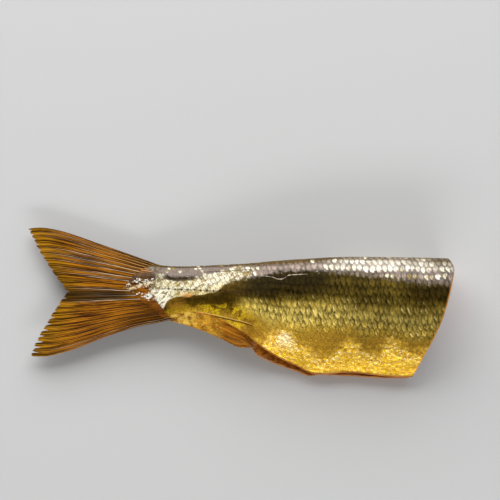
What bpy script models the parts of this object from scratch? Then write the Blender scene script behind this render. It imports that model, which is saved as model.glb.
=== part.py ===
"""Tail half of a smoked whitefish, lying on its side: flesh and skin as one body, the backbone, the
tail fin and the folded anal fin.

Blender 4.5, metres, +Z up. +X runs from the tail to the head end, +Y to the back of the fish and the
piece rests on its flank. Its origin is at the middle of its bounding box, on the surface it rests on.
Run it with: blender --background --python part.py
"""

import math

import bmesh
import bpy
from mathutils import Vector

MM = 0.001

# Driving dimensions, in millimetres. Stations are measured from the tips of the tail fin, heights up
# and down the flank from the lateral line.
FIN_ROOT = 63.7  # where the tail fin meets the flesh
BODY_END = 64.0  # 0.3 mm ahead of the fin
VENT = 109.0  # the gutting cut begins here
UNCUT_END = 222.0  # the body is modelled to here, then cut
REST = 0.0  # height of the surface under the fish

# Outlines of the body as (station, size) pairs, joined by smooth curves.
BACK = [(60, 13.2), (70, 11.8), (85, 12.0), (105, 13.0), (120, 14.4), (135, 15.5), (160, 16.6), (222, 15.6)]
BELLY = [(60, -15.8), (66, -14.7), (72, -12.6), (80, -10.9), (92, -13.4), (107, -21.5), (113, -26.3),
         (119, -30.5), (126, -34.4), (133, -37.6), (140, -41.2), (147, -42.0), (158, -41.4), (169, -42.4),
         (180, -43.6), (222, -44.4)]
# How far the lower belly flap shows past the upper one.
FLAP_PEEK = [(107, 0.0), (110, -4.0), (113, -5.6), (119, -4.5), (128, -3.2), (138, -2.1), (144, -0.3),
             (150, -0.7), (158, -1.7), (169, -1.5), (179, -0.9), (190, -0.4), (222, -0.4)]
HALF_THICKNESS = [(60, 3.4), (72, 6.0), (85, 7.4), (105, 10.2), (120, 12.2), (135, 13.4), (160, 14.4),
                  (222, 14.6)]
MID_HEIGHT = [(0, 6.4), (60, 8.0), (72, 8.8), (85, 9.6), (105, 10.8), (120, 11.8), (135, 12.7), (160, 13.4),
              (222, 13.6)]
BELLY_DROOP = [(60, 0.0), (95, 0.4), (110, 3.6), (122, 6.8), (138, 8.6), (160, 9.2), (222, 9.2)]
# The tail end is rolled towards its back: the slope of its middle plane.
ROLL = [(0, 0.02), (30, 0.08), (60, 0.20), (75, 0.30), (92, 0.34), (108, 0.24), (125, 0.06), (140, 0.0)]

# Shape of a cross-section: where it is thickest on the way from back to belly, how blunt its ends are,
# where the belly starts to droop and how full its edge stays.
THICKEST = 0.40
BACK_BLUNTNESS = 0.50
BELLY_BLUNTNESS = 0.75
DROOP_START = 0.48
EDGE_FULLNESS = 0.06

# The slanting knife cut at the head end: it leans towards the tail at the belly and is undercut.
CUT_STATION = 201.6  # where the cut meets the lateral line's level on the resting surface
CUT_LEAN = -0.30
CUT_UNDERCUT = -0.30

# The gutted cavity, a slit between the two belly flaps that starts under the backbone.
CAVITY_TOP = [(109, 0.93), (118, 0.78), (130, 0.64), (150, 0.56), (225, 0.54)]
CAVITY_HALF_GAP = [(109, 0.3), (118, 1.2), (135, 2.8), (160, 3.8), (225, 4.2)]
SLIT_HALF_GAP = 0.45
SLIT_REACH = 1.12  # the cutter runs this far past the belly edge

# The backbone.
BONE_LEVEL = 0.44  # on the way from back to belly
BONE_RADIUS = [(66, 1.3), (105, 2.2), (150, 2.9), (225, 3.1)]
BONE_START = 72.0
BONE_CLEARANCE = 0.3
BONE_SIDES = 14

# How finely the body, its cavity and the backbone are divided.
STATIONS = 44
POINTS_PER_SIDE = 20
CAVITY_ROWS = 22
CAVITY_COLUMNS = 9
BONE_ROWS = 16
SHARP_ANGLE = math.radians(50)

# Tail fin: its root, the two tips and the fork, as (station, height).
FIN_BACK_ROOT = (FIN_ROOT, 12.6)
FIN_BELLY_ROOT = (FIN_ROOT, -16.4)
FIN_UPPER_TIP = (-2.8, 30.1)
FIN_FORK = (17.2, -0.8)
FIN_LOWER_TIP = (-1.9, -32.8)
HIND_BOW = 1.3  # how far each lobe's hind edge bulges past a straight line
UPPER_SWELL = [(0.0, 0.0), (0.29, 2.0), (0.47, 3.0), (0.61, 3.9), (0.74, 4.3), (0.88, 3.6), (1.0, 0.9)]
LOWER_SWELL = [(0.0, 0.0), (0.13, -0.4), (0.25, -0.3), (0.43, 0.8), (0.52, 1.8), (0.66, 3.0), (0.75, 3.2),
               (0.85, 3.1), (0.94, 1.9), (1.0, 0.6)]
FIN_RAYS = 19
FIN_THICKNESS = (2.6, 1.0)  # at the root and at the ray tips
FIN_RIDGES = 0.38  # the share of the thickness that the rays stand proud
FIN_BOW = 1.1  # one lobe bends up and the other down
FIN_ROWS = 11
FRAY = 1.1

# Anal fin, folded back along the belly.
ANAL_RAYS = 4
ANAL_START = 69.4
ANAL_END = 110.0
ANAL_EDGE = [(69.4, -15.6), (79, -18.3), (84.5, -20.0), (95, -24.5), (102, -28.0), (106.5, -28.9),
             (110.6, -28.6)]
ANAL_SAG = 6.0  # how far its edge sinks, for each unit of the body's roll
ANAL_GAP = 0.45  # between the belly's edge and the fin
ANAL_THICKNESS = (1.4, 0.9)
ANAL_RIDGES = 0.3
ANAL_LEAST_DEPTH = 0.8
ANAL_ROWS = 26

SKIN_GOLD = (0.42, 0.27, 0.05, 1)
FLESH = (0.82, 0.55, 0.50, 1)
FIN_AMBER = (0.33, 0.14, 0.02, 1)
BONE = (0.80, 0.70, 0.58, 1)


def clear_scene():
    for obj in list(bpy.data.objects):
        bpy.data.objects.remove(obj)


def material(name, colour, roughness, metallic=0.0):
    made = bpy.data.materials.new(name)
    made.use_nodes = True
    shader = made.node_tree.nodes["Principled BSDF"]
    shader.inputs["Base Color"].default_value = colour
    shader.inputs["Roughness"].default_value = roughness
    shader.inputs["Metallic"].default_value = metallic
    return made


def along(keys, station):
    """The value at a station of the smooth curve through the keys, flat past both ends."""
    if station <= keys[0][0]:
        return keys[0][1]
    if station >= keys[-1][0]:
        return keys[-1][1]
    i = max(n for n, key in enumerate(keys) if key[0] <= station)

    def slope(n):
        a, b = keys[max(n - 1, 0)], keys[min(n + 1, len(keys) - 1)]
        return (b[1] - a[1]) / (b[0] - a[0])

    (x0, y0), (x1, y1) = keys[i], keys[i + 1]
    step = x1 - x0
    t = (station - x0) / step
    rise0, rise1 = slope(i) * step, slope(i + 1) * step
    return (
        y0 * (1 + 2 * t) * (1 - t) ** 2
        + rise0 * t * (1 - t) ** 2
        + y1 * t * t * (3 - 2 * t)
        - rise1 * t * t * (1 - t)
    )


def smooth(value):
    t = min(1.0, max(0.0, value))
    return t * t * (3 - 2 * t)


def level(station, down, side):
    """Height on the flank of a point that is down, from 0 at the back to 1 at the belly's edge."""
    back = along(BACK, station)
    belly = along(BELLY, station)
    if side < 0:
        belly += along(FLAP_PEEK, station)
    return back + (belly - back) * down


def middle(station, down):
    """Height above the table of the middle plane, which droops towards the empty belly."""
    droop = along(BELLY_DROOP, station) * smooth((down - DROOP_START) / (1 - DROOP_START))
    return along(MID_HEIGHT, station) - droop - along(ROLL, station) * level(station, down, 1)


def half_thickness(station, down):
    back_part = (down / THICKEST) ** BACK_BLUNTNESS
    belly_part = ((1 - down * (1 - EDGE_FULLNESS)) / (1 - THICKEST)) ** BELLY_BLUNTNESS
    return along(HALF_THICKNESS, station) * back_part * belly_part


def flank_point(station, down, side):
    """A point of the skin: side is 1 on the upper flank and -1 on the one it rests on."""
    z = middle(station, down) + side * half_thickness(station, down)
    return Vector((station, level(station, down, side), max(z, REST)))


def loft(bm, loops):
    """Closed skin over rings of points, each ring joined to the next, with a cap at both ends."""
    rings = [[bm.verts.new(point * MM) for point in loop] for loop in loops]
    for ring, following in zip(rings, rings[1:]):
        for i in range(len(ring)):
            j = (i + 1) % len(ring)
            bm.faces.new((ring[i], ring[j], following[j], following[i]))
    bm.faces.new(rings[0])
    bm.faces.new(rings[-1])
    bmesh.ops.recalc_face_normals(bm, faces=bm.faces)


def new_object(name, bm, *materials):
    bmesh.ops.triangulate(bm, faces=bm.faces)
    mesh = bpy.data.meshes.new(name)
    bm.to_mesh(mesh)
    bm.free()
    mesh.shade_smooth()
    mesh.set_sharp_from_angle(angle=SHARP_ANGLE)
    for made in materials:
        mesh.materials.append(made)
    obj = bpy.data.objects.new(name, mesh)
    bpy.context.scene.collection.objects.link(obj)
    return obj


def cut_head_end(bm):
    """Slices off everything ahead of the knife cut and closes the cut face."""
    bmesh.ops.bisect_plane(
        bm,
        geom=bm.verts[:] + bm.edges[:] + bm.faces[:],
        plane_co=Vector((CUT_STATION * MM, 0, 0)),
        plane_no=Vector((1, CUT_LEAN, CUT_UNDERCUT)),
        clear_outer=True,
        dist=1e-7,
    )
    rim = [edge for edge in bm.edges if edge.is_boundary]
    bmesh.ops.contextual_create(bm, geom=rim)
    bmesh.ops.recalc_face_normals(bm, faces=bm.faces)


def body_mesh():
    loops = []
    for n in range(STATIONS + 1):
        station = BODY_END + (UNCUT_END - BODY_END) * n / STATIONS
        downs = [
            (1 - math.cos(math.pi * k / POINTS_PER_SIDE)) / 2
            for k in range(1, POINTS_PER_SIDE + 1)
        ]
        upper = [flank_point(station, down, 1) for down in downs]
        lower = [flank_point(station, down, -1) for down in reversed(downs)]
        loops.append([flank_point(station, 0.0, 1), *upper, *lower])
    bm = bmesh.new()
    loft(bm, loops)
    cut_head_end(bm)
    return bm


def cavity_cutter():
    """A thin wedge, open at the belly, from the vent to past the head end."""
    loops = []
    for n in range(CAVITY_ROWS + 1):
        station = VENT + (UNCUT_END - VENT) * n / CAVITY_ROWS
        top = along(CAVITY_TOP, station)
        gap = along(CAVITY_HALF_GAP, station)
        upper, lower = [], []
        for k in range(1, CAVITY_COLUMNS + 1):
            share = k / CAVITY_COLUMNS
            down = top + (SLIT_REACH - top) * share
            inside = min(1.0, (down - top) / (1 - top))
            half = SLIT_HALF_GAP * smooth(share * 4) + gap * math.sin(math.pi * inside ** 0.8)
            z = middle(station, min(down, 1.0))
            y = level(station, down, -1)
            upper.append(Vector((station, y, z + half)))
            lower.append(Vector((station, y, z - half)))
        apex = Vector((station, level(station, top, -1), middle(station, top)))
        loops.append([apex, *upper, *reversed(lower)])
    bm = bmesh.new()
    loft(bm, loops)
    return bm


def bone_mesh(spare):
    """The backbone as a tapered rod. With spare, the channel that it lies in."""
    loops = []
    start = BONE_START - spare
    for n in range(BONE_ROWS + 1):
        station = start + (UNCUT_END - start) * n / BONE_ROWS
        radius = along(BONE_RADIUS, station) + spare
        centre = Vector((station, level(station, BONE_LEVEL, 1), middle(station, BONE_LEVEL)))
        turns = [2 * math.pi * k / BONE_SIDES for k in range(BONE_SIDES)]
        loops.append([centre + Vector((0, radius * math.cos(a), radius * math.sin(a))) for a in turns])
    bm = bmesh.new()
    loft(bm, loops)
    return bm


def subtract(target, cutter):
    """A Boolean difference that keeps the cutter as a hidden helper."""
    cutter.hide_render = True
    cutter.display_type = "WIRE"
    cut = target.modifiers.new("Cut " + cutter.name, "BOOLEAN")
    cut.operation = "DIFFERENCE"
    cut.solver = "EXACT"
    cut.object = cutter


def sheet_solid(bm, upper, lower):
    """Closes two grids of points, given row by row, into one thin solid."""
    top = [[bm.verts.new(point * MM) for point in row] for row in upper]
    under = [[bm.verts.new(point * MM) for point in row] for row in lower]
    rows, columns = len(top), len(top[0])
    for i in range(rows - 1):
        for j in range(columns - 1):
            bm.faces.new((top[i][j], top[i + 1][j], top[i + 1][j + 1], top[i][j + 1]))
            bm.faces.new((under[i][j], under[i][j + 1], under[i + 1][j + 1], under[i + 1][j]))
    rim = [(i, 0) for i in range(rows)]
    rim += [(rows - 1, j) for j in range(1, columns)]
    rim += [(i, columns - 1) for i in range(rows - 2, -1, -1)]
    rim += [(0, j) for j in range(columns - 2, 0, -1)]
    for (i, j), (k, m) in zip(rim, rim[1:] + rim[:1]):
        bm.faces.new((top[i][j], under[i][j], under[k][m], top[k][m]))
    bmesh.ops.recalc_face_normals(bm, faces=bm.faces)


def blend(a, b, share):
    return (a[0] + (b[0] - a[0]) * share, a[1] + (b[1] - a[1]) * share)


def tail_point(out, across):
    """(station, height) of a point of the tail fin: out from root to tip, across from back to belly."""
    root = blend(FIN_BACK_ROOT, FIN_BELLY_ROOT, across)
    if across <= 0.5:
        tip = blend(FIN_UPPER_TIP, FIN_FORK, across * 2)
    else:
        tip = blend(FIN_FORK, FIN_LOWER_TIP, across * 2 - 1)
    fray = FRAY * (0.5 + 0.5 * math.cos(2 * math.pi * across * FIN_RAYS)) * out ** 6
    bow = HIND_BOW * abs(math.sin(2 * math.pi * across)) * out
    x, y = blend(root, tip, out)
    spread = (across - 0.5) * 2
    if spread < 0:
        swell = along(UPPER_SWELL, out)
    else:
        swell = -along(LOWER_SWELL, out)
    return x + fray - bow, y + swell * spread ** 2


def tail_fin_mesh():
    columns = FIN_RAYS * 4
    root_thick, tip_thick = FIN_THICKNESS
    upper, lower = [], []
    for i in range(FIN_ROWS + 1):
        out = i / FIN_ROWS
        upper.append([])
        lower.append([])
        for j in range(columns + 1):
            across = j / columns
            x, y = tail_point(out, across)
            ridge = 0.5 - 0.5 * math.cos(2 * math.pi * across * FIN_RAYS)
            thick = root_thick + (tip_thick - root_thick) * out ** 0.6
            thick *= 1 - FIN_RIDGES * (1 - ridge)
            bow = FIN_BOW * math.sin(math.pi * across * 2) * out
            z = along(MID_HEIGHT, x) + bow - along(ROLL, x) * y
            upper[-1].append(Vector((x, y, z + thick / 2)))
            lower[-1].append(Vector((x, y, z - thick / 2)))
    bm = bmesh.new()
    sheet_solid(bm, upper, lower)
    return bm


def anal_point(ahead, out):
    """(station, height) of a point of the anal fin: ahead from its hind tip, out from the belly."""
    station = ANAL_START + (ANAL_END - ANAL_START) * ahead
    root = level(station, 1.0, -1) - ANAL_GAP
    edge = min(along(ANAL_EDGE, station), root - ANAL_LEAST_DEPTH)
    return station, root + (edge - root) * out


def anal_fin_mesh():
    columns = ANAL_RAYS * 3
    root_thick, edge_thick = ANAL_THICKNESS
    upper, lower = [], []
    for i in range(ANAL_ROWS + 1):
        upper.append([])
        lower.append([])
        for j in range(columns + 1):
            out = j / columns
            x, y = anal_point(i / ANAL_ROWS, out)
            ridge = 0.5 - 0.5 * math.cos(2 * math.pi * out * ANAL_RAYS)
            thick = root_thick + (edge_thick - root_thick) * out
            thick *= 1 - ANAL_RIDGES * (1 - ridge)
            z = middle(x, 1.0) - ANAL_SAG * along(ROLL, x) * out
            upper[-1].append(Vector((x, y, z + thick / 2)))
            lower[-1].append(Vector((x, y, z - thick / 2)))
    bm = bmesh.new()
    sheet_solid(bm, upper, lower)
    return bm


def stand_on_origin(objects):
    """Moves the pieces together, so that the origin is under the middle of their bounding box."""
    bpy.context.view_layer.update()
    graph = bpy.context.evaluated_depsgraph_get()
    corners = []
    for obj in objects:
        mesh = obj.evaluated_get(graph).to_mesh()
        corners += [obj.matrix_world @ vertex.co for vertex in mesh.vertices]
    low = Vector(min(corner[axis] for corner in corners) for axis in range(3))
    high = Vector(max(corner[axis] for corner in corners) for axis in range(3))
    holder = bpy.data.objects.new("fish", None)
    bpy.context.scene.collection.objects.link(holder)
    for obj in bpy.data.objects:
        if obj is not holder:
            obj.parent = holder
    holder.location = (-(low.x + high.x) / 2, -(low.y + high.y) / 2, -low.z)


def main():
    clear_scene()
    gold = material("Golden skin", SKIN_GOLD, 0.35, 0.5)
    flesh = material("Smoked flesh", FLESH, 0.5)
    amber = material("Dried fin", FIN_AMBER, 0.5)
    bone = material("Backbone", BONE, 0.6)

    body = new_object("body", body_mesh(), gold)
    subtract(body, new_object("cavity_cutter", cavity_cutter(), flesh))
    subtract(body, new_object("channel_cutter", bone_mesh(BONE_CLEARANCE), flesh))

    rod = bone_mesh(0.0)
    cut_head_end(rod)
    backbone = new_object("backbone", rod, bone)
    tail_fin = new_object("tail_fin", tail_fin_mesh(), amber)
    anal_fin = new_object("anal_fin", anal_fin_mesh(), amber)
    stand_on_origin([body, backbone, tail_fin, anal_fin])


main()
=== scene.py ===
# %% [markdown]
# # The tail half of a smoked whitefish
# A smoked fish is a shape with very little of its own colour: nearly all of what we see is how thin
# silvery scales, tanned gold by the smoke, mirror the room. So this lesson puts real relief into the
# skin, scale by scale, and then spends its care on finishes and on light. Part of what the skin mirrors
# is painted into its finishes as painted highlights, painted reflections and painted shade.

import math

import bpy
import numpy as np
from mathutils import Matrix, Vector, noise
from mathutils.bvhtree import BVHTree
from mathutils.geometry import delaunay_2d_cdt


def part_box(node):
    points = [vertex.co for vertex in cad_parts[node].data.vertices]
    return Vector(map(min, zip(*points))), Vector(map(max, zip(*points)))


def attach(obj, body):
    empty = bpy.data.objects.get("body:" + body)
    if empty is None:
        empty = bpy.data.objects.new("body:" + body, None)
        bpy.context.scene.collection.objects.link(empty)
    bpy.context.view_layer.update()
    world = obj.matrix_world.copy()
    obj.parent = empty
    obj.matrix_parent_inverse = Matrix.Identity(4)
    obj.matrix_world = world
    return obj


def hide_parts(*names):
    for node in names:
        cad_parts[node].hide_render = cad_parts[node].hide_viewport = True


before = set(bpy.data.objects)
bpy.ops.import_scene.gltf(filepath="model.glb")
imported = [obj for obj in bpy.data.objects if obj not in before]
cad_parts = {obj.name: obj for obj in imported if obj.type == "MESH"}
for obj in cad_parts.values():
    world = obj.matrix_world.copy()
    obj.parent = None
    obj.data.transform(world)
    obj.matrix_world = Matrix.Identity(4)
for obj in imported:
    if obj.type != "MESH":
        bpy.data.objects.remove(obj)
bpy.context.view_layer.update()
MM = 0.001
print("frame nodes:", sorted(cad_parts))

# %% [markdown]
# ## Measures of the fish
# The fish is measured the way a fishmonger would: a station counts millimetres from the tips of the
# tail, a level counts them up from the lateral line towards the back. A few keys for each outline and a
# smooth curve through them are enough, because a fish has no corners. They are the outlines of the CAD
# body, and a later cell measures how far the finished skin strays from it.

# %% Outlines as (station, size) keys in millimetres
BACK = [(46, 1.5), (49, 5.5), (54, 9.8), (60, 12.6), (66, 12.2), (72, 11.8), (85, 12.0), (105, 13.0),
        (120, 14.4), (135, 15.5), (160, 16.6), (222, 15.6)]
BELLY = [(46, 0.5), (49, -1.8), (54, -5.0), (60, -9.2), (66, -13.6), (72, -12.6), (80, -10.9), (92, -13.4),
         (107, -21.5), (113, -26.3), (119, -30.5), (126, -34.4), (133, -37.6), (140, -41.0), (147, -41.6),
         (158, -40.8), (169, -41.7), (180, -42.8), (222, -43.6)]
FLAP_PEEK = [(107, 0.0), (110, -4.0), (113, -5.6), (119, -4.5), (128, -3.2), (138, -2.1), (144, -0.3),
             (150, -0.7), (158, -1.7), (169, -1.5), (179, -0.9), (190, -0.4), (222, -0.4)]
HALF_THICKNESS = [(46, 0.5), (52, 1.5), (60, 3.2), (66, 4.7), (72, 6.0), (85, 7.4), (105, 10.2), (120, 12.2),
                  (135, 13.2), (160, 14.0), (222, 14.2)]
MID_HEIGHT = [(0, 6.4), (60, 8.0), (72, 8.8), (85, 9.6), (105, 10.8), (120, 11.8), (135, 12.7), (160, 13.4),
              (222, 13.6)]
BELLY_DROOP = [(60, 0.0), (95, 0.4), (110, 3.6), (122, 6.8), (138, 8.6), (160, 9.2), (222, 9.2)]
ROLL = [(0, 0.02), (30, 0.08), (60, 0.20), (75, 0.30), (92, 0.34), (108, 0.24), (125, 0.06), (140, 0.0)]
FOIL_TOP = [(105, -30.0), (112, -28.0), (118, -25.0), (122, -21.5), (126.5, -19.5), (131, -23.0),
            (137, -28.0), (141, -31.0), (146, -33.5), (151, -31.5), (157, -27.0), (161, -26.2),
            (167, -31.0), (172.5, -31.5), (176.5, -27.8), (180.5, -26.2), (185, -28.7), (190, -30.3),
            (206, -31.0), (222, -31.0)]
LATERAL_LINE = [(46, 0.0), (64, 0.4), (92, -0.4), (112, -1.6), (138, -3.4), (170, -5.4), (222, -7.0)]

THICKEST = 0.40
BACK_BLUNTNESS = 0.50
BELLY_BLUNTNESS = 0.75
DROOP_START = 0.48
EDGE_FULLNESS = 0.06

BODY_END = 64.0
VENT = 109.0
CAVITY_TOP = [(109, 0.93), (118, 0.78), (130, 0.64), (150, 0.56), (225, 0.54)]
CAVITY_HALF_GAP = [(109, 0.3), (118, 1.2), (135, 2.8), (160, 3.8), (225, 4.2)]
SLIT_HALF_GAP = 0.45

CUT_STATION = 201.4
CUT_LEAN = -0.30
CUT_UNDERCUT = -0.30
CUT_CORNER = 2.6
CORNER_LOW, CORNER_HIGH = 9.5, 17.5
print("the knife cut crosses the lateral line's level at station", CUT_STATION)


# %% Smooth curves through the keys
def along(keys, station):
    """Values at many stations of the smooth curve through the keys, flat past both ends."""
    keys = np.array(keys, dtype=float)
    x, y = keys[:, 0], keys[:, 1]
    slopes = np.empty(len(x))
    slopes[1:-1] = (y[2:] - y[:-2]) / (x[2:] - x[:-2])
    slopes[0] = (y[1] - y[0]) / (x[1] - x[0])
    slopes[-1] = (y[-1] - y[-2]) / (x[-1] - x[-2])
    station = np.clip(np.asarray(station, dtype=float), x[0], x[-1])
    i = np.clip(np.searchsorted(x, station, side="right") - 1, 0, len(x) - 2)
    step = x[i + 1] - x[i]
    t = (station - x[i]) / step
    return (
        y[i] * (1 + 2 * t) * (1 - t) ** 2
        + slopes[i] * step * t * (1 - t) ** 2
        + y[i + 1] * t * t * (3 - 2 * t)
        - slopes[i + 1] * step * t * t * (1 - t)
    )


def smooth(value, low, high):
    """0 below low, 1 above high, and an easy slope between them."""
    t = np.clip((np.asarray(value, dtype=float) - low) / (high - low), 0.0, 1.0)
    return t * t * (3 - 2 * t)


def level(station, down, side):
    """Level of a point that is down, from 0 at the back to 1 at the belly's edge."""
    back = along(BACK, station)
    belly = along(BELLY, station) + np.where(side < 0, along(FLAP_PEEK, station), 0.0)
    return back + (belly - back) * down


def middle(station, down):
    droop = along(BELLY_DROOP, station) * smooth(down, DROOP_START, 1.0)
    return along(MID_HEIGHT, station) - droop - along(ROLL, station) * level(station, down, 1)


def half_thickness(station, down):
    back_part = (down / THICKEST) ** BACK_BLUNTNESS
    belly_part = ((1 - down * (1 - EDGE_FULLNESS)) / (1 - THICKEST)) ** BELLY_BLUNTNESS
    return along(HALF_THICKNESS, station) * back_part * belly_part


def cut_at(height, z):
    """Station of the knife cut, whose corner at the back is drawn in a little."""
    drawn_in = CUT_CORNER * smooth(height, CORNER_LOW, CORNER_HIGH)
    return CUT_STATION - CUT_LEAN * height - CUT_UNDERCUT * z - drawn_in


print("at station 160 the fish is", round(2 * float(half_thickness(160, THICKEST)), 1), "mm thick")


# %% From the fish's own measures to the frame's metres
body_low, body_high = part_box("body")
highest_back = along(BACK, np.linspace(BODY_END, 205, 400)).max()
STATION_ZERO = body_low[0] - BODY_END * MM
LEVEL_ZERO = body_high[1] - highest_back * MM


def place(station, height, z):
    """Points in metres from stations, levels and heights above the table in millimetres."""
    station, height, z = np.broadcast_arrays(station, height, z)
    return np.stack([STATION_ZERO + station * MM, LEVEL_ZERO + height * MM, z * MM], axis=-1)


print("lateral line at station 0 lies at", round(STATION_ZERO, 4), round(LEVEL_ZERO, 4), "m")

# %% [markdown]
# ## Scales
# A fish's scales overlap like roof tiles, each free edge a rounded arc that points to the tail. Rows are
# shifted by half a scale. At any spot the scale on top is the one rooted furthest forward whose arc still
# reaches it, and that rule, written once with numbers for the mesh and once with nodes for the finish,
# gives both the same tiles.

# %% Which scale lies on top
SCALE_PITCH = [(46, 2.1), (90, 2.4), (125, 2.8), (222, 2.9)]
ROW_PITCH = [(46, 2.2), (90, 2.7), (125, 3.9), (222, 4.4)]
ARC_DEPTH = 0.60
ARC_BLUNTNESS = 2.4
ARC_HALF_HEIGHT = 0.66
ARC_LEAN = 0.42


def top_scale(across, row):
    """For points in scale units: the distance ahead of the free edge, the row offset and two tile names."""
    best, ahead, offset, lane = None, None, None, None
    for step in (0, 1):
        j = np.floor(row) + step
        shift = 0.5 * np.mod(j, 2)
        dv = row - j
        arc = np.sqrt(np.clip(1 - (np.abs(dv) / ARC_HALF_HEIGHT) ** ARC_BLUNTNESS, 0, 1))
        reach = across - ARC_LEAN * dv + ARC_DEPTH * arc
        tile = np.floor(reach - shift) + shift
        if best is None:
            best, ahead, offset, lane = tile, reach - tile, dv, j
        else:
            wins = tile > best
            best = np.where(wins, tile, best)
            ahead = np.where(wins, reach - tile, ahead)
            offset = np.where(wins, dv, offset)
            lane = np.where(wins, j, lane)
    return ahead, offset, best, lane


def tile_chance(tile, lane, seed):
    """A fixed random number between 0 and 1 for each scale."""
    mixed = np.sin(tile * 12.9898 + lane * 78.233 + seed * 37.719) * 43758.5453
    return mixed - np.floor(mixed)


def ripples(points, size, octaves=2):
    """Soft noise between -1 and 1 over points in millimetres, with waves of about that size."""
    flat = np.asarray(points, dtype=float).reshape(-1, 3) / size
    found = [noise.fractal(Vector(p), 1.0, 2.0, octaves) for p in flat]
    return np.array(found).reshape(np.asarray(points).shape[:-1])


print("chance of scale 3 in row 5:", round(float(tile_chance(3.0, 5.0, 1)), 3))

# %% [markdown]
# ## The body
# The body is one closed skin over flesh. I build it as rings: down the upper flank, round the edge of the
# belly flap, up one wall of the gutted cavity and down the other, round the lower flap and back up the
# flank that lies on the table. Before the vent the cavity's part of each ring shrinks to a point and is
# merged away. The last ring lies in the plane of the knife cut.

# %% A ring around the body
SKIN_START = 46.0
DEEPEST = 160.0
RINGS = 344
UPPER, LOWER, RIM, WALL = 160, 72, 5, 15
SLIT_OPENS, CAVITY_OPENS = 5.0, 8.0
RIM_BULGE = 0.7
LOWEST = 0.02


def even_steps(count, side):
    """Steps down the flank, from 0 to 1, that are evenly spaced along the skin where it is deepest."""
    fine = np.linspace(0, 1, 2000) ** 2
    here = np.full_like(fine, DEEPEST)
    y = level(here, fine, side)
    z = middle(here, fine) + side * half_thickness(here, fine)
    reach = np.concatenate([[0], np.cumsum(np.hypot(np.diff(y), np.diff(z)))])
    return np.interp(np.linspace(0, reach[-1], count + 1), reach, fine)


upper_steps = even_steps(UPPER, 1)
lower_steps = even_steps(LOWER, -1)
rim_steps = np.linspace(0, 1, RIM + 1)
wall_steps = np.linspace(0, 1, WALL + 1)


def slit(station):
    return SLIT_HALF_GAP * smooth(station, VENT, VENT + SLIT_OPENS)


def skin_height(station, down, side):
    return np.maximum(middle(station, down) + side * half_thickness(station, down), LOWEST)


def rim_point(station, q, side):
    """Round the edge of a belly flap, from the skin at 0 to the slit at 1."""
    outside = skin_height(station, 1.0, side)
    inside = middle(station, 1.0) + side * slit(station)
    bulge = RIM_BULGE * np.sin(math.pi * q ** 0.8) * smooth(station, 60, 80)
    height = level(station, 1.0, side)
    before_vent = 1 - smooth(station, VENT - 3, VENT)
    height = height + (level(station, 1.0, 1) - height) * before_vent * q
    return height - bulge, outside + (inside - outside) * q


def wall_point(station, share, side):
    """Up the wall of the cavity, from the slit at 0 to the top of the cavity at 1."""
    top = np.where(station < VENT, 1.0, along(CAVITY_TOP, station))
    top = 1 - (1 - top) * smooth(station, VENT, VENT + CAVITY_OPENS)
    down = 1 - (1 - top) * share
    gap = along(CAVITY_HALF_GAP, station) * smooth(station, VENT, VENT + CAVITY_OPENS)
    half = slit(station) * smooth(1 - share, 0, 0.25) + gap * np.sin(math.pi * (1 - share) ** 0.8)
    side_now = np.where(share >= 1, 1, side)
    height = level(station, down, 1)
    peek = (level(station, 1.0, side_now) - level(station, 1.0, 1)) * smooth(down, 0.8, 1.0)
    peek = peek * smooth(station, VENT - 3, VENT + 2)
    return height + peek, middle(station, down) + side_now * half


def ring_point(station, part, step, side):
    if part == "skin":
        return level(station, step, side), skin_height(station, step, side)
    if part == "rim":
        return rim_point(station, step, side)
    return wall_point(station, step, side)


ring = [("skin", d, 1) for d in upper_steps]
ring += [("rim", q, 1) for q in rim_steps[1:]]
ring += [("wall", w, 1) for w in wall_steps[1:]]
ring += [("wall", w, -1) for w in wall_steps[-2::-1]]
ring += [("rim", q, -1) for q in rim_steps[-2::-1]]
ring += [("skin", d, -1) for d in lower_steps[-2:0:-1]]
print("points in a ring:", len(ring))

# %% Rings from the tail to the slanting cut
RINGS_END = 207.0
SLANT_START = 150.0
GUESS = 205.0
evenly = np.linspace(SKIN_START, RINGS_END, RINGS + 1)
slanting_share = smooth(evenly, SLANT_START, RINGS_END)
stations = np.empty((RINGS + 1, len(ring)))
heights = np.empty_like(stations)
tops = np.empty_like(stations)
for k, (part, step, side) in enumerate(ring):
    end = GUESS
    for _ in range(12):
        y, z = ring_point(np.array([end]), part, step, side)
        end = float(cut_at(y[0], z[0]))
    stations[:, k] = evenly + (end - RINGS_END) * slanting_share
    heights[:, k], tops[:, k] = ring_point(stations[:, k], part, step, side)

base = np.stack([stations, heights, tops], axis=-1)
print("rings end between stations", round(stations[-1].min(), 1), "and", round(stations[-1].max(), 1))

# %% Where each point lies among the scales
def lengths_along(points):
    steps = np.linalg.norm(np.diff(points, axis=1), axis=2)
    return np.concatenate([np.zeros((points.shape[0], 1)), np.cumsum(steps, axis=1)], axis=1)


row_pitch = along(ROW_PITCH, base[:, 0, 0])


def rows_below(columns):
    """Scale rows between each point of a flank and the lateral line, counted down towards the belly."""
    reach = lengths_along(base[:, columns])
    line = along(LATERAL_LINE, base[:, columns[0], 0])
    rows = np.empty_like(reach)
    for i in range(len(base)):
        here = base[i, columns, 1]
        rows[i] = (reach[i] - np.interp(-line[i], -here, reach[i])) / row_pitch[i]
    return rows


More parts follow.
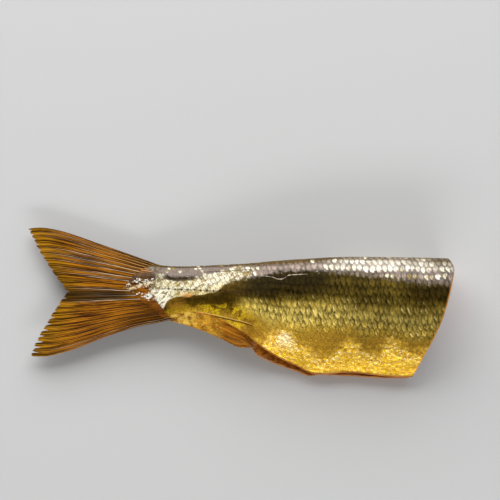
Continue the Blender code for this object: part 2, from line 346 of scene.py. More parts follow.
ROW_OF_INSIDE = 30.0
TILE_WANDER, ROW_WANDER = 0.32, 0.30
upper_columns = np.arange(UPPER + 1)
lower_columns = np.concatenate([[0], np.arange(len(ring) - 1, len(ring) - LOWER, -1)])
rows = np.full(stations.shape, ROW_OF_INSIDE)
rows[:, upper_columns] = rows_below(upper_columns)
lower_rows = rows_below(lower_columns)
lower_rows += rows[:, :1] - lower_rows[:, :1]
rows[:, lower_columns[1:]] = lower_rows[:, 1:]
fine_stations = np.linspace(40, 230, 1901)
scales_so_far = np.concatenate([[0], np.cumsum(0.1 / along(SCALE_PITCH, fine_stations[1:]))])
tiles = np.interp(stations, fine_stations, scales_so_far) + TILE_WANDER * ripples(base, 7, 3)
rows = rows + ROW_WANDER * ripples(base + 50.0, 9, 3)

downs = np.array([d if part == "skin" else 1.0 for part, d, side in ring])
sides = np.array([side for part, d, side in ring])
is_skin = np.array([part == "skin" for part, d, side in ring])
print("rows of scales at the cut:", round(float(rows[-1, 0]), 1), "to", round(float(rows[-1, UPPER]), 1))

# %% [markdown]
# ### Relief in the skin
# Four things raise the skin: the scales, which stand proud at their free edges and each tilt a little
# their own way; long soft hollows in the flesh; the foil-like crinkles of the thin belly skin; and along
# the root of the tail a groove between two ridges of muscle. Each is a height in millimetres along the
# surface's own direction.

# %% Heights of the relief, in millimetres
SCALE_HEIGHT = 0.18
HOLLOW_DEPTH = 0.30
CRINKLE_HEIGHT = 0.10
GROOVE_DEPTH, RIDGE_HEIGHT = 1.0, 0.45
PRESSED = 0.15
down_grid = np.broadcast_to(downs, stations.shape)
upper_side = np.broadcast_to(sides > 0, stations.shape)

ahead, offset, tile, lane = top_scale(tiles, rows)
lift = 0.75 * (1 - ahead) + 0.9 * (tile_chance(tile, lane, 1) - 0.5) * (ahead - 0.35)
lift += 0.45 * (1 - smooth(np.hypot(offset * 1.9, (ahead - 0.45) * 1.9), 0.1, 1.1))
lift += 1.6 * (tile_chance(tile, lane, 2) - 0.5) * offset
belly_start = 0.70 + 0.04 * ripples(np.stack([stations, heights, 0 * tops], -1), 14)
scaled = 1 - 0.8 * smooth(down_grid, belly_start - 0.05, belly_start + 0.05)
scaled = scaled * (0.35 + 0.65 * smooth(stations, 50, 60))
worn = smooth(stations, 104, 116) * (1 - smooth(stations, 140, 170)) * (1 - smooth(down_grid, 0.12, 0.30))
scaled = scaled * (1 - 0.75 * worn)
relief = SCALE_HEIGHT * lift * scaled

relief = relief + HOLLOW_DEPTH * ripples(base, 17, 2) * smooth(stations, 60, 90)

below_foil_top = along(FOIL_TOP, stations) - heights
in_foil = smooth(below_foil_top, -3.0, 4.0) * smooth(down_grid, 0.5, 0.6) * smooth(stations, 104, 114)
bunched = 1 - 0.5 * smooth(below_foil_top, 4, 9)
relief = relief + CRINKLE_HEIGHT * ripples(base, 1.7, 3) * bunched * in_foil

groove_line = 5.2 + 0.03 * (stations - 74)
groove_reach = smooth(stations, 63, 69) * (1 - smooth(stations, 84, 96)) * upper_side
groove = np.exp(-(((heights - groove_line) / 1.3) ** 2)) * groove_reach
ridge = np.exp(-(((heights - groove_line - 2.9) / 1.6) ** 2)) * groove_reach
relief = relief - GROOVE_DEPTH * groove + RIDGE_HEIGHT * ridge

relief = relief * is_skin
relief = relief * smooth(down_grid, 0.0, 0.004) * (1 - smooth(down_grid, 0.985, 1.0) * 0.8)
resting = (tops < 0.6) & is_skin
relief = np.where(resting, np.maximum(relief, 0) * PRESSED, relief)
print("relief from", round(float(relief.min()), 2), "to", round(float(relief.max()), 2), "mm")


# %% Moving the rings out along their normals
def grid_normals(points):
    along_body = np.gradient(points, axis=0)
    round_body = np.roll(points, -1, axis=1) - np.roll(points, 1, axis=1)
    normal = np.cross(along_body, round_body)
    size = np.linalg.norm(normal, axis=2, keepdims=True)
    return -normal / np.maximum(size, 1e-9)


normals = grid_normals(base)
ON_UPPER_FLANK = 40
outwards = np.sign(normals[:, ON_UPPER_FLANK, 2].mean())
shaped = base + normals * outwards * relief[..., None]
shaped[-1] = base[-1] + (shaped[-1] - base[-1]) * [0, 1, 1]
shaped[-1, :, 0] = cut_at(shaped[-1, :, 1], shaped[-1, :, 2])
shaped[..., 2] = np.maximum(shaped[..., 2], LOWEST)
print("the shaped skin reaches", round(float(shaped[..., 2].max()), 1), "mm above the table")


# %% [markdown]
# ### The cut face
# The knife cut is nearly flat, but flesh is made of curved muscle blocks that flake apart along thin
# white sheets, so the face gets shallow steps. Its outline is the last ring, filled with a Delaunay
# triangulation over an even scatter of inner points, which follows any outline without long slivers.

# %% Flaky relief
BONE_LEVEL = 0.44
RINGS_Y, RINGS_Z = float(level(190.0, BONE_LEVEL, 1)), float(middle(190.0, BONE_LEVEL))
RINGS_SQUASH = 0.55
RINGS_PACE = 2.1


def flesh_steps(y, z):
    """Height of the flaky relief on the cut face, in millimetres."""
    reach = np.hypot((y - RINGS_Y) * RINGS_SQUASH, z - RINGS_Z)
    turn = np.arctan2(z - RINGS_Z, y - RINGS_Y)
    bands = np.sin(reach * RINGS_PACE + 1.1 * np.sin(2 * turn))
    return 0.16 * bands + 0.10 * ripples(np.stack([y, z, 0 * y], -1), 2.2, 3)


print("muscle rings centre on level", round(RINGS_Y, 1), "mm, height", round(RINGS_Z, 1), "mm")


# %% Filling the cut
def fill_cut(rim, spacing):
    """Points and triangles that close the rim, in the plane of the cut."""
    flat = rim[:, 1:3]
    low, high = flat.min(axis=0), flat.max(axis=0)
    inner = []
    for r, y in enumerate(np.arange(low[0], high[0], spacing * 0.87)):
        for z in np.arange(low[1] + (r % 2) * spacing / 2, high[1], spacing):
            inner.append((y, z))
    inner = np.array(inner)
    edge_a, edge_b = flat, np.roll(flat, -1, axis=0)
    run = edge_b - edge_a
    share = np.einsum("pej,ej->pe", inner[:, None] - edge_a[None], run) / np.maximum((run**2).sum(1), 1e-12)
    nearest = edge_a[None] + np.clip(share, 0, 1)[..., None] * run[None]
    gap = np.linalg.norm(inner[:, None] - nearest, axis=2).min(axis=1)
    crosses = (edge_a[None, :, 1] > inner[:, None, 1]) != (edge_b[None, :, 1] > inner[:, None, 1])
    slope = run[:, 0] / np.where(np.abs(run[:, 1]) < 1e-12, 1e-12, run[:, 1])
    at = edge_a[None, :, 0] + (inner[:, None, 1] - edge_a[None, :, 1]) * slope[None]
    inside = (crosses & (inner[:, None, 0] < at)).sum(axis=1) % 2 == 1
    inner = inner[inside & (gap > spacing * 0.45)]
    coords = [Vector(p) for p in np.concatenate([flat, inner])]
    edges = [(i, (i + 1) % len(flat)) for i in range(len(flat))]
    found, _, faces, origins, _, _ = delaunay_2d_cdt(coords, edges, [], 1, 1e-6)
    centre = np.array([tuple(p) for p in found])
    source = [o[0] if o else -1 for o in origins]
    return centre, faces, source, len(flat)


rim_points = shaped[-1]
CUT_SPACING = 0.62
keep = [0]
for k in range(1, len(rim_points)):
    if np.linalg.norm(rim_points[k] - rim_points[keep[-1]]) > 1e-4:
        keep.append(k)
keep = np.array(keep)
cut_flat, cut_faces, cut_source, rim_count = fill_cut(rim_points[keep], CUT_SPACING)
print("cut face:", len(cut_flat), "points", len(cut_faces), "faces")

# %% [markdown]
# ### One closed mesh with its own maps
# The rings, the cut and a small cap at the tail are joined here. Points that fell together are merged,
# and quads that lost corners become triangles or go. Two UV maps travel with the mesh: one counts in
# scales and rows, so that the finish can find the same tiles as the relief, and one holds the station
# and how far down the flank a point lies.

# %% Building a mesh from a grid with maps and material zones
SKIN, RIM_EDGE, LINING, FLESH = 0, 1, 2, 3
SHARP_ANGLE = math.radians(62)


def make_mesh(name, points, faces, zones, maps, materials):
    """Merges equal points, drops faces that vanish and keeps the maps per face corner."""
    keys = np.round(points * 1e6).astype(np.int64)
    _, first, merged = np.unique(keys, axis=0, return_index=True, return_inverse=True)
    merged = merged.reshape(-1)
    kept_faces, kept_zones, corners = [], [], []
    for face, zone in zip(faces, zones):
        loop = []
        for corner in face:
            if not loop or merged[corner] != merged[loop[-1]]:
                loop.append(corner)
        if len(loop) > 1 and merged[loop[0]] == merged[loop[-1]]:
            loop.pop()
        if len(loop) >= 3 and len({merged[c] for c in loop}) == len(loop):
            kept_faces.append([int(merged[c]) for c in loop])
            kept_zones.append(zone)
            corners.extend(loop)
    mesh = bpy.data.meshes.new(name)
    mesh.from_pydata(points[first].tolist(), [], kept_faces)
    corners = np.array(corners)
    for map_name, values in maps.items():
        layer = mesh.uv_layers.new(name=map_name)
        layer.data.foreach_set("uv", values[corners].astype(np.float32).ravel())
    for material in materials:
        mesh.materials.append(material)
    mesh.polygons.foreach_set("material_index", np.array(kept_zones, dtype=np.int32))
    mesh.shade_smooth()
    mesh.set_sharp_from_angle(angle=SHARP_ANGLE)
    mesh.update()
    piece = bpy.data.objects.new(name, mesh)
    bpy.context.scene.collection.objects.link(piece)
    print(name, "has", len(mesh.vertices), "points and", sum(len(f) - 2 for f in kept_faces), "triangles")
    return piece


def zone_of(k):
    """Material zone of the strip of a ring that starts at point k."""
    part, following = ring[k][0], ring[(k + 1) % len(ring)][0]
    if part == following == "skin":
        return SKIN
    return LINING if part == "wall" else RIM_EDGE


def body_arrays():
    count = len(ring)
    points = place(shaped[..., 0], shaped[..., 1], shaped[..., 2]).reshape(-1, 3)
    faces, zones = [], []
    strip = [zone_of(k) for k in range(count)]
    for i in range(RINGS):
        a, b = i * count, (i + 1) * count
        for k in range(count):
            m = (k + 1) % count
            faces.append((a + k, a + m, b + m, b + k))
            zones.append(strip[k])
    signed_down = np.where(sides > 0, downs, -downs)
    scale_map = np.stack([tiles, rows], -1).reshape(-1, 2)
    flank_map = np.stack([stations / 100, np.broadcast_to(signed_down, stations.shape)], -1).reshape(-1, 2)

    faces.append(tuple(range(count - 1, -1, -1)))
    zones.append(SKIN)

    y, z = cut_flat[:, 0], cut_flat[:, 1]
    rim_share = np.array([0.0 if s < 0 or s >= rim_count else 1.0 for s in cut_source])
    bump = flesh_steps(y, z) * (1 - rim_share)
    x = cut_at(y, z) - np.abs(bump)
    cut_points = place(x, y, z)
    last = RINGS * count
    number = []
    for n, source in enumerate(cut_source):
        number.append(last + int(keep[source]) if 0 <= source < rim_count else len(points) + n)
    for face in cut_faces:
        faces.append(tuple(number[c] for c in face))
        zones.append(FLESH)
    cut_map = np.stack([y / 10, z / 10], -1)
    points = np.concatenate([points, cut_points])
    scale_map = np.concatenate([scale_map, cut_map])
    flank_map = np.concatenate([flank_map, cut_map])
    return points, faces, zones, {"scales": scale_map, "flank": flank_map}


# %% [markdown]
# ## Writing finishes as sums
# A Blender finish is a web of nodes. Written as Python expressions it reads like arithmetic: a Flow is
# one output of a node, and adding or multiplying Flows adds the Math nodes behind the scenes. A Finish
# holds one material, its shader, and one method that adds any other node.

# %% Flow and Finish
def maths(operation, swapped=False):
    """A method for Flow that adds one Math node."""
    def method(self, *others):
        values = (*others, self) if swapped else (self, *others)
        return self.finish.add("ShaderNodeMath", {"operation": operation}, dict(enumerate(values)))

    return method


class Flow:
    """One output of a node."""

    __add__, __radd__ = maths("ADD"), maths("ADD", True)
    __sub__, __rsub__ = maths("SUBTRACT"), maths("SUBTRACT", True)
    __mul__, __rmul__ = maths("MULTIPLY"), maths("MULTIPLY", True)
    __truediv__, __pow__, __mod__ = maths("DIVIDE"), maths("POWER"), maths("FLOORED_MODULO")
    __gt__ = maths("GREATER_THAN")
    most, least, floor = maths("MAXIMUM"), maths("MINIMUM"), maths("FLOOR")
    size, sine, square_root = maths("ABSOLUTE"), maths("SINE"), maths("SQRT")

    def __init__(self, finish, socket):
        self.finish, self.socket = finish, socket

    def root(self):
        return self.most(0.0).square_root()

    def between(self, low, high, start=0.0, end=1.0):
        """Runs smoothly from start, where this is low or less, to end, where it is high or more."""
        settings = {"interpolation_type": "SMOOTHSTEP"}
        return self.finish.add("ShaderNodeMapRange", settings, {0: self, 1: low, 2: high, 3: start, 4: end})

    def below(self, low, high):
        """1 where this is low or less, easing to 0 where it is high or more."""
        return self.between(low, high, 1.0, 0.0)

    def near(self, full, gone):
        """1 where this is within full of zero, easing to 0 where it is further off than gone."""
        return self.size().below(full, gone)

    def coat(self, share, tone):
        """This colour, painted over with another where share is 1."""
        return self.finish.blend(share, self, tone)

    def tint(self, factor):
        """This colour made lighter or darker by a number."""
        return self.finish.add("ShaderNodeVectorMath", {"operation": "SCALE"}, {0: self, "Scale": factor})


class Finish:
    """One material: fixed values on its shader's sockets, and nodes for all that varies."""

    def __init__(self, name, **fixed):
        self.material = bpy.data.materials.new(name)
        self.material.use_nodes = True
        self.tree = self.material.node_tree
        self.shader = self.tree.nodes["Principled BSDF"]
        for socket, value in fixed.items():
            self.shader.inputs[socket.replace("_", " ")].default_value = value

    def plug(self, socket, value):
        if isinstance(value, Flow):
            self.tree.links.new(value.socket, socket)
        elif isinstance(value, (tuple, list)) and len(value) == 3 and socket.type == "RGBA":
            socket.default_value = (*value, 1.0)
        else:
            socket.default_value = value

    def add(self, kind, settings=None, values=None, output=0):
        node = self.tree.nodes.new(kind)
        for name, value in (settings or {}).items():
            setattr(node, name, value)
        for name, value in (values or {}).items():
            self.plug(node.inputs[name], value)
        return Flow(self, node.outputs[output])

    def map(self, name):
        """The two numbers of a UV map."""
        found = self.add("ShaderNodeUVMap", {"uv_map": name})
        return self.split(found)[:2]

    def split(self, vector):
        node = self.tree.nodes.new("ShaderNodeSeparateXYZ")
        self.plug(node.inputs[0], vector)
        return [Flow(self, out) for out in node.outputs]

    def join(self, x, y, z=0.0):
        return self.add("ShaderNodeCombineXYZ", {}, {0: x, 1: y, 2: z})

    def position(self):
        """Place on the object, in millimetres."""
        node = self.add("ShaderNodeTexCoord", {}, {}, output=3)
        return self.add("ShaderNodeVectorMath", {"operation": "SCALE"}, {0: node, "Scale": 1000.0})

    def stretched(self, factors):
        """The place on the object with each of its axes stretched or shrunk."""
        return self.add("ShaderNodeVectorMath", {"operation": "MULTIPLY"}, {0: self.position(), 1: factors})

    def noise(self, vector, scale, detail=2.0, roughness=0.5):
        values = {"Vector": vector, "Scale": scale, "Detail": detail, "Roughness": roughness}
        return self.add("ShaderNodeTexNoise", {}, values)

    def chance(self, a, b, seed):
        """A fixed random number for each pair of numbers."""
        values = {"Vector": self.join(a, b, seed)}
        return self.add("ShaderNodeTexWhiteNoise", {"noise_dimensions": "3D"}, values)

    def blend(self, share, low, high):
        """A colour, low where share is 0 and high where it is 1; either can be a screen colour."""
        low, high = (colour(*tone) if isinstance(tone, tuple) else tone for tone in (low, high))
        settings = {"data_type": "RGBA", "clamp_factor": True}
        return self.add("ShaderNodeMix", settings, {0: share, 6: low, 7: high}, output=2)

    def curve(self, value, keys, low, high):
        """A smooth curve through keys given in the value's own units, with results from low to high."""
        start, stop = keys[0][0], keys[-1][0]
        node = self.tree.nodes.new("ShaderNodeFloatCurve")
        line = node.mapping.curves[0]
        while len(line.points) < len(keys):
            line.points.new(0.5, 0.5)
        for point, (x, y) in zip(line.points, keys):
            point.location = ((x - start) / (stop - start), (y - low) / (high - low))
        node.mapping.update()
        self.plug(node.inputs["Value"], (value - start) / (stop - start))
        return Flow(self, node.outputs[0]) * (high - low) + low

    def ramp(self, value, keys):
        """A colour that follows keys of (value, screen colour)."""
        node = self.tree.nodes.new("ShaderNodeValToRGB")
        stops = node.color_ramp.elements
        while len(stops) < len(keys):
            stops.new(0.5)
        for stop, (at, tone) in zip(stops, keys):
            stop.position = at
            stop.color = (*colour(*tone), 1.0)
        self.plug(node.inputs[0], value)
        return Flow(self, node.outputs[0])

    def relief(self, height, distance, strength):
        values = {"Strength": strength, "Distance": distance, "Height": height}
        self.set("Normal", self.add("ShaderNodeBump", {}, values))

    def set(self, socket, value):
        self.plug(self.shader.inputs[socket], value)


def colour(red, green, blue):
    """A colour as it looks on a screen, from 0 to 255, turned into light."""
    shares = (red / 255, green / 255, blue / 255)
    return tuple(((c + 0.055) / 1.055) ** 2.4 if c > 0.04045 else c / 12.92 for c in shares)


print("smoked gold in light:", [round(c, 3) for c in colour(192, 168, 82)])

# %% [markdown]
# ### The skin's finish
# Smoke tans the thin silver of the scales to gold. Along the back dark pigment lies under it, the flank
# is olive, the belly bright as foil. Where scales have rubbed off, the bare skin is a satin grey. That is
# a lot for one finish, so it grows over the next cells: first what is known about each spot, then one
# region after another, and last the marks that lie over them all.

# %% Scale tiles as nodes
def shingles(across, row):
    """The distance ahead of the free edge, the gap to the next edge and the name of the top scale."""
    found = []
    for step in (0, 1):
        lane = row.floor() + step
        shift = (lane % 2) * 0.5
        offset = row - lane
        arc = (1 - (offset.size() / ARC_HALF_HEIGHT) ** ARC_BLUNTNESS).most(0).root()
        reach = across - offset * ARC_LEAN + arc * ARC_DEPTH
        tile = (reach - shift).floor() + shift
        found.append((tile, reach - tile, offset, lane))
    first, second = found
    wins = second[0] > first[0]
    tile, ahead, offset, lane = (a + (b - a) * wins for a, b in zip(first, second))
    gap = (1 - first[1]).least(1 - second[1])
    return ahead, gap, offset, tile, lane


def hypotenuse(a, b):
    return (a ** 2 + b ** 2).root()


print("a scale's free edge is an arc,", ARC_DEPTH, "of a scale deep")

# %% What is known about each spot of the skin
skin = Finish("golden skin", Coat_Roughness=0.14, Coat_IOR=1.4, Specular_IOR_Level=0.05,
              Specular_Tint=(1.0, 0.8, 0.45, 1.0))
across, row = skin.map("scales")
station, down = skin.map("flank")
station, down = station * 100, down.size()
place_mm = skin.position()
x, y, z = skin.split(place_mm)
height = y - LEVEL_ZERO / MM
cut = station + height * CUT_LEAN + z * CUT_UNDERCUT + height.between(CORNER_LOW, CORNER_HIGH) * CUT_CORNER

ahead, gap, offset, tile, lane = shingles(across, row)
tone, luck = skin.chance(tile, lane, 3.0), skin.chance(tile, lane, 8.0)
crevice = gap.below(0.0, 0.22)
disc = hypotenuse(offset * 1.9, (ahead - 0.45) * 1.8)
dome = disc.below(0.15, 1.1)


def patch_at(at_station, at_height, length, width, full, gone):
    """1 in the middle of an oval patch of skin, easing to 0 around it."""
    return hypotenuse((station - at_station) / length, (height - at_height) / width).below(full, gone)


def report(step):
    print(step, "brings the skin's finish to", len(skin.tree.nodes), "nodes")


report("finding each spot's scale")

# %% Noises, from the broadest to the finest
cloud = skin.noise(place_mm, 0.09, 2.0)
patches = skin.noise(place_mm, 0.24, 4.0, 0.62)
mottle = skin.noise(place_mm, 0.55, 3.0)
speckle = skin.noise(place_mm, 1.15, 3.0, 0.7)
grain = skin.noise(place_mm, 2.6, 3.0, 0.6)
streaks = skin.noise(skin.join(x * 1.1, y * 0.4, z * 0.4), 1.0, 3.0, 0.65)
slanting = skin.noise(skin.join(x + y * 0.8, y * 2.0 - x * 1.2, z), 0.30, 3.0, 0.6)
wander = (cloud - 0.5) * 0.22 + (mottle - 0.5) * 0.05
report("noise")

# %% [markdown]
# #### Where the regions meet
# The pale back ends along a line, crisp and jagged at the tail and soft towards the cut, that is partly
# where dark pigment begins and partly the painted edge of the lamp's reflection. Below that line
# everything is ruled by one number, the share of the way down to the belly's edge. The flank's own
# region starts ahead of the vent, and the trunk's finish takes over from the tail's there.

# %% The edge of the pale back and the share of the way down
PALE_EDGE = [(44, -6.0), (60, -6.0), (63, -8.6), (65, -10.6), (66.8, -7.6), (70, -4.2), (76, -2.9),
             (83, -2.4), (89.5, -1.6), (93.7, 0.1), (97, 2.8), (101, 4.6), (106, 5.9), (112.8, 6.8),
             (117, 7.8), (124.5, 9.4), (134.5, 9.8), (154.5, 9.0), (174.5, 7.0), (194.5, 4.6), (215, 2.6)]
pale_edge = skin.curve(station, PALE_EDGE, -12, 12)
softness = 0.35 + station.between(86, 104) * 0.9 + station.between(140, 165) * 1.3
ragged = 1.2 + station.between(86, 104) * 3.0
shadow_side = ((pale_edge - height) + (mottle - 0.5) * ragged).between(0 - softness, softness)
share = (pale_edge - height) / (pale_edge - skin.curve(station, BELLY, -46, 4))
trunk = station.between(100, 113)
late, last = station.between(138, 165), station.between(176, 192)
report("the edge of the back")

# %% [markdown]
# #### The golden flank
# From top to bottom the flank mirrors the dark above, then the bright sides of the room, and these
# reflections are painted into its colour along with the skin's own olive and gold. Its tones are a ramp
# over the share of the way down, bent so that the dark band narrows towards the tail.

# %% Flank
TRUNK_TONES = [(0.00, (52, 42, 12)), (0.12, (44, 34, 8)), (0.19, (58, 46, 12)), (0.26, (104, 86, 30)),
               (0.33, (153, 130, 56)), (0.42, (192, 168, 82)), (0.51, (190, 161, 70)), (0.58, (162, 130, 42)),
               (0.66, (160, 122, 34)), (0.80, (170, 126, 34)), (1.00, (166, 116, 32))]
lit = share - station.below(118, 145) * share.between(0.1, 0.25) * 0.09
flank = skin.ramp(lit + wander * share.between(0.1, 0.3), TRUNK_TONES)
olive = station.between(143, 156) * station.below(178, 194) * share.below(0.15, 0.3)
flank = flank.coat(olive * (0.35 + cloud * 0.6), (118, 98, 36))
before_foil = station.below(108, 120) * share.between(0.5, 0.7)
patched = skin.blend(patches.between(0.45, 0.6), (146, 100, 28), (204, 162, 40))
flank = flank.coat(before_foil * 0.8, patched)
report("the flank")

# %% [markdown]
# #### Belly like crumpled foil
# The belly's skin is thin and crinkled, and mirrors the room in specks, painted here as pale glint
# specks. Its upper limit swings up and down in crests, where the ribs once held it, and a painted
# highlight on the first crest makes it the brightest spot of the fish.

# %% Foil
foil_depth = skin.curve(station, FOIL_TOP, -40, -16) - height
torn_depth = foil_depth + (mottle - 0.5) * 7 + (streaks - 0.5) * 5 + (patches - 0.5) * 12
foil = torn_depth.between(-5.0, 6.0) * station.between(103, 112) * down.between(0.5, 0.6)
crest = foil * (1 - foil_depth.between(2, 8) * 0.75)
first_crest = (station - 127 + (mottle - 0.5) * 8).near(1.5, 7.0)
near_top = foil_depth.between(0.5, 3) * foil_depth.below(6, 11)
# Painted highlights: pale glint specks on the crests, and a brighter cluster near the top of the first crest.
glint_specks = skin.noise(skin.join(x + 31, y, z), 0.9, 3.0, 0.7).between(0.52, 0.58) * crest
glint_specks = glint_specks.most(first_crest * near_top * 0.7 * grain.between(0.4, 0.6))
leaf = skin.blend(mottle.between(0.36, 0.62), (200, 148, 16), (226, 184, 40))
leaf = leaf.coat(skin.noise(place_mm, 1.1, 3.0, 0.7).between(0.5, 0.66) * 0.4, (180, 116, 10))
leaf = leaf.coat(glint_specks * 0.9, skin.blend(first_crest, (255, 238, 176), (255, 250, 224)))
flank = flank.coat(foil, leaf)
# Painted highlight: a patch of pale yellow light on the scales near the vent.
painted_highlight_patch = patch_at(105.5, -7.5, 4.2, 4.6, 0.3, 1.2)
flank = flank.coat(painted_highlight_patch * (patches + grain - 0.5).between(0.38, 0.60) * 0.85, (240, 208, 88))
report("the foil")

# %% [markdown]
# #### The narrow part before the tail
# Here the skin lies tight over muscle: dark and olive under the pale edge, partly pigment and partly
# painted reflection of the dark room, golden with yellow flecks and thin dark veins below, with painted
# shade in a hollow where the belly begins.

# %% Tail stalk
TAIL_TONES = [(0.00, (112, 88, 32)), (0.25, (70, 52, 10)), (0.45, (76, 57, 10)), (0.68, (132, 98, 22)),
              (0.88, (188, 146, 44)), (1.00, (196, 150, 56))]
stalk = skin.ramp(share + (mottle - 0.5) * 0.5 + (streaks - 0.5) * 0.4, TAIL_TONES)
fleck = (patches + (grain - 0.5) * 0.3).between(0.47, 0.54) * share.between(0.46, 0.62)
stalk = stalk.coat(fleck * (0.25 + station.between(80, 92) * 0.75) * 0.9, (238, 196, 34))
veins = (skin.noise(skin.join(x * 0.5 + 7, y, z), 0.5, 3.0, 0.6) - 0.5).near(0.0, 0.03)
stalk = stalk.coat(veins * 0.6, (70, 50, 8))
# Painted shade in the hollow where the belly begins.
stalk = stalk.tint(1 - patch_at(97.5, -5.5, 6.5, 5.0, 0.35, 1.2) * 0.32)
near_root = patch_at(72, -6.5, 5.5, 3.4, 0.4, 1.3)
stalk = stalk.coat(near_root * (0.35 + patches.between(0.40, 0.60) * 0.4), (170, 122, 38))
report("the tail stalk")

# %% Flank and tail stalk together, with the dark band under the back
in_dark = lit.below(0.16, 0.30)
# The dark band under the back, partly dark pigment and partly painted reflection of the dark room above, is
# darkened further up to station 178 and lightened again near the cut; from station 138 on, the flank outside
# the foil is darker.
dim = 1 - late * 0.32 * (1 - foil) * (1 - in_dark * last) - in_dark * station.below(138, 178) * 0.34
dim = dim + in_dark * last * 0.25
golden = skin.blend(trunk, stalk, flank).tint(dim)
scaled = (share + wander).below(0.52, 0.66) * trunk
report("the dark band")

# %% [markdown]
# #### The pale back
# Bare skin is grey. Some scales are left on it: nearly all of them in a cream band near the tail, few in
# the middle, and many again where the back faces the lamp. There a painted highlight brightens the bare
# skin and those scales. The chance that a scale is kept is a curve along the fish, and each scale draws
# its own luck against it.

# %% Bare skin and the shine of the back
CREAM_TOP = [(44, 3.0), (60, 4.0), (64.5, 8.0), (69.5, 5.2), (74.5, 5.6), (82, 7.0), (87, 8.0), (92, 9.0),
             (99.5, 10.6), (107, 11.2), (113, 9.8), (215, 9.8)]
CREAM_SHARE = [(44, 0.0), (66, 0.15), (100, 0.32), (112, 0.24), (135, 0.30), (150, 0.50), (168, 0.72),
               (190, 0.92), (215, 0.80)]
grey = skin.blend(streaks.between(0.2, 0.8), (132, 114, 102), (172, 156, 145))
top_strip = (down + (grain - 0.5) * 0.06 - station.between(150, 180) * 0.022).below(0.02, 0.06)
grey = grey.coat(top_strip, skin.blend(grain.between(0.45, 0.6), (58, 42, 10), (126, 98, 30)))
# Painted highlight where the back faces the lamp, fading towards the cut.
shine = (skin.curve(station, BACK, 0, 18) - 4.0 - height).near(1.2, 4.2) * station.between(140, 160)
shine = shine * (1 - station.between(188, 205) * 0.6)
shine = shine * (0.6 + 0.4 * (patches + (luck - 0.5) * 0.5).between(0.38, 0.56))
grey = grey.coat(shine * 0.85, (230, 218, 202))
report("the shine of the back")

# %% The scales that are left
in_band = skin.curve(station, CREAM_TOP, 0, 14) - height + (tone - 0.5) * 1.6
in_band = in_band.between(-0.5, 0.7) * station.below(107, 115)
likely = skin.curve(station, CREAM_SHARE, 0, 1) + in_band * 0.9 + (cloud - 0.5) * 0.5
likely = likely * (1 - station.between(112, 118) * (1 - shine) * 0.6) + shine * 0.32
kept = (likely - luck).between(-0.05, 0.12)
kept = kept * (1 - (disc - shine * 0.34).between(0.45, 1.0) * (1 - in_band * 0.8))
kept = kept.most(shine * 0.5 * dome) * (1 - top_strip * station.between(150, 180) * 0.75)
# Cream scales, khaki to white along a slanting pattern: partly their own pale colour and partly painted
# highlight, with the shine's painted highlight over them.
bright = (tone - (slanting - 0.5) * 1.6).between(0.1, 0.7)
cream = skin.blend(bright, (172, 148, 88), (255, 248, 218))
cream = cream.coat(slanting.between(0.50, 0.64) * 0.55, (140, 116, 66))
cream = cream.coat(slanting.between(0.38, 0.47, 0.7, 0.0), (255, 250, 228))
cream = cream.coat(shine, (255, 247, 226))
# Painted shade on the part of each scale that slopes down under the next one's free edge.
cream = cream.coat(ahead.between(0.45, 0.95) * 0.5 * (1 - shine), (142, 124, 86))
pale = skin.blend(kept, grey, cream).tint(1 - cut.between(CUT_STATION - 12, CUT_STATION - 1) * 0.3)
pale = pale.tint(1 - station.below(92, 108) * (1 - kept) * 0.22)
report("the scales left on the back")

# %% [markdown]
# #### Marks on the pale back near the tail
# A painted silver sheen and a painted highlight blob lie where the tail begins, gaps between them show
# dark skin, a seam divides the cream band from the bare back, and painted shade darkens the groove that
# runs between two ridges of muscle.

# %% Painted sheen and highlight blob, gaps, seam and painted shade in the groove
SEAM = [(80, 8.6), (92, 9.2), (100, 9.6), (108, 10.2), (116, 10.8)]
GROOVE = [(64, 7.2), (68, 6.2), (72, 5.3), (77, 5.5), (84, 6.4)]
sheen = slanting.below(0.46, 0.56) * station.below(76, 92) * height.below(4.0, 6.0)
pale = pale.coat(sheen * 0.55, (250, 240, 190))
root_gap = station.below(62, 69) * height.between(-2.0, 0.0) * mottle.between(0.40, 0.56)
pale = pale.coat(root_gap * 0.75, (92, 74, 34))
highlight_blob = station.below(67, 71) * height.below(-0.5, 1.5) * slanting.below(0.46, 0.60)
pale = pale.coat(highlight_blob * 0.95, (255, 250, 226))
seam = (height - skin.curve(station, SEAM, 8, 12) + (grain - 0.5) * 0.6).near(0.12, 0.45)
pale = pale.coat(seam * station.between(82, 90) * station.below(108, 116) * 0.7, (70, 54, 32))
low_gold = (height - pale_edge).below(0.8, 4.0) * station.between(68, 74) * station.below(94, 100)
pale = pale.coat(low_gold * slanting.between(0.36, 0.6, 0.85, 0.2), (255, 228, 140))
# Painted shade along the groove between the two ridges.
groove = (height - skin.curve(station, GROOVE, 4, 8) + (mottle - 0.5) * 2).near(0.6, 1.5)
groove = groove * station.between(64, 68) * station.below(78, 86)
pale = pale.coat(groove * 0.9, (58, 44, 22))

base = skin.blend(shadow_side, pale, golden)
rub = ((station - 78) / 2.8) ** 2 + (height + 2.6) ** 2
base = base.coat((rub + (grain - 0.5) * 2.4).below(0.3, 1.6) * 0.75, (232, 164, 92))
report("marks near the tail")

# %% [markdown]
# #### The tongue of wet skin at the root of the tail
# The body's skin runs out over the root of the fin in a tongue of bare brown skin. It is wet, and its
# torn silvery flakes above and below the middle are painted with glinting highlights, and the fin's
# first rays already show through it.

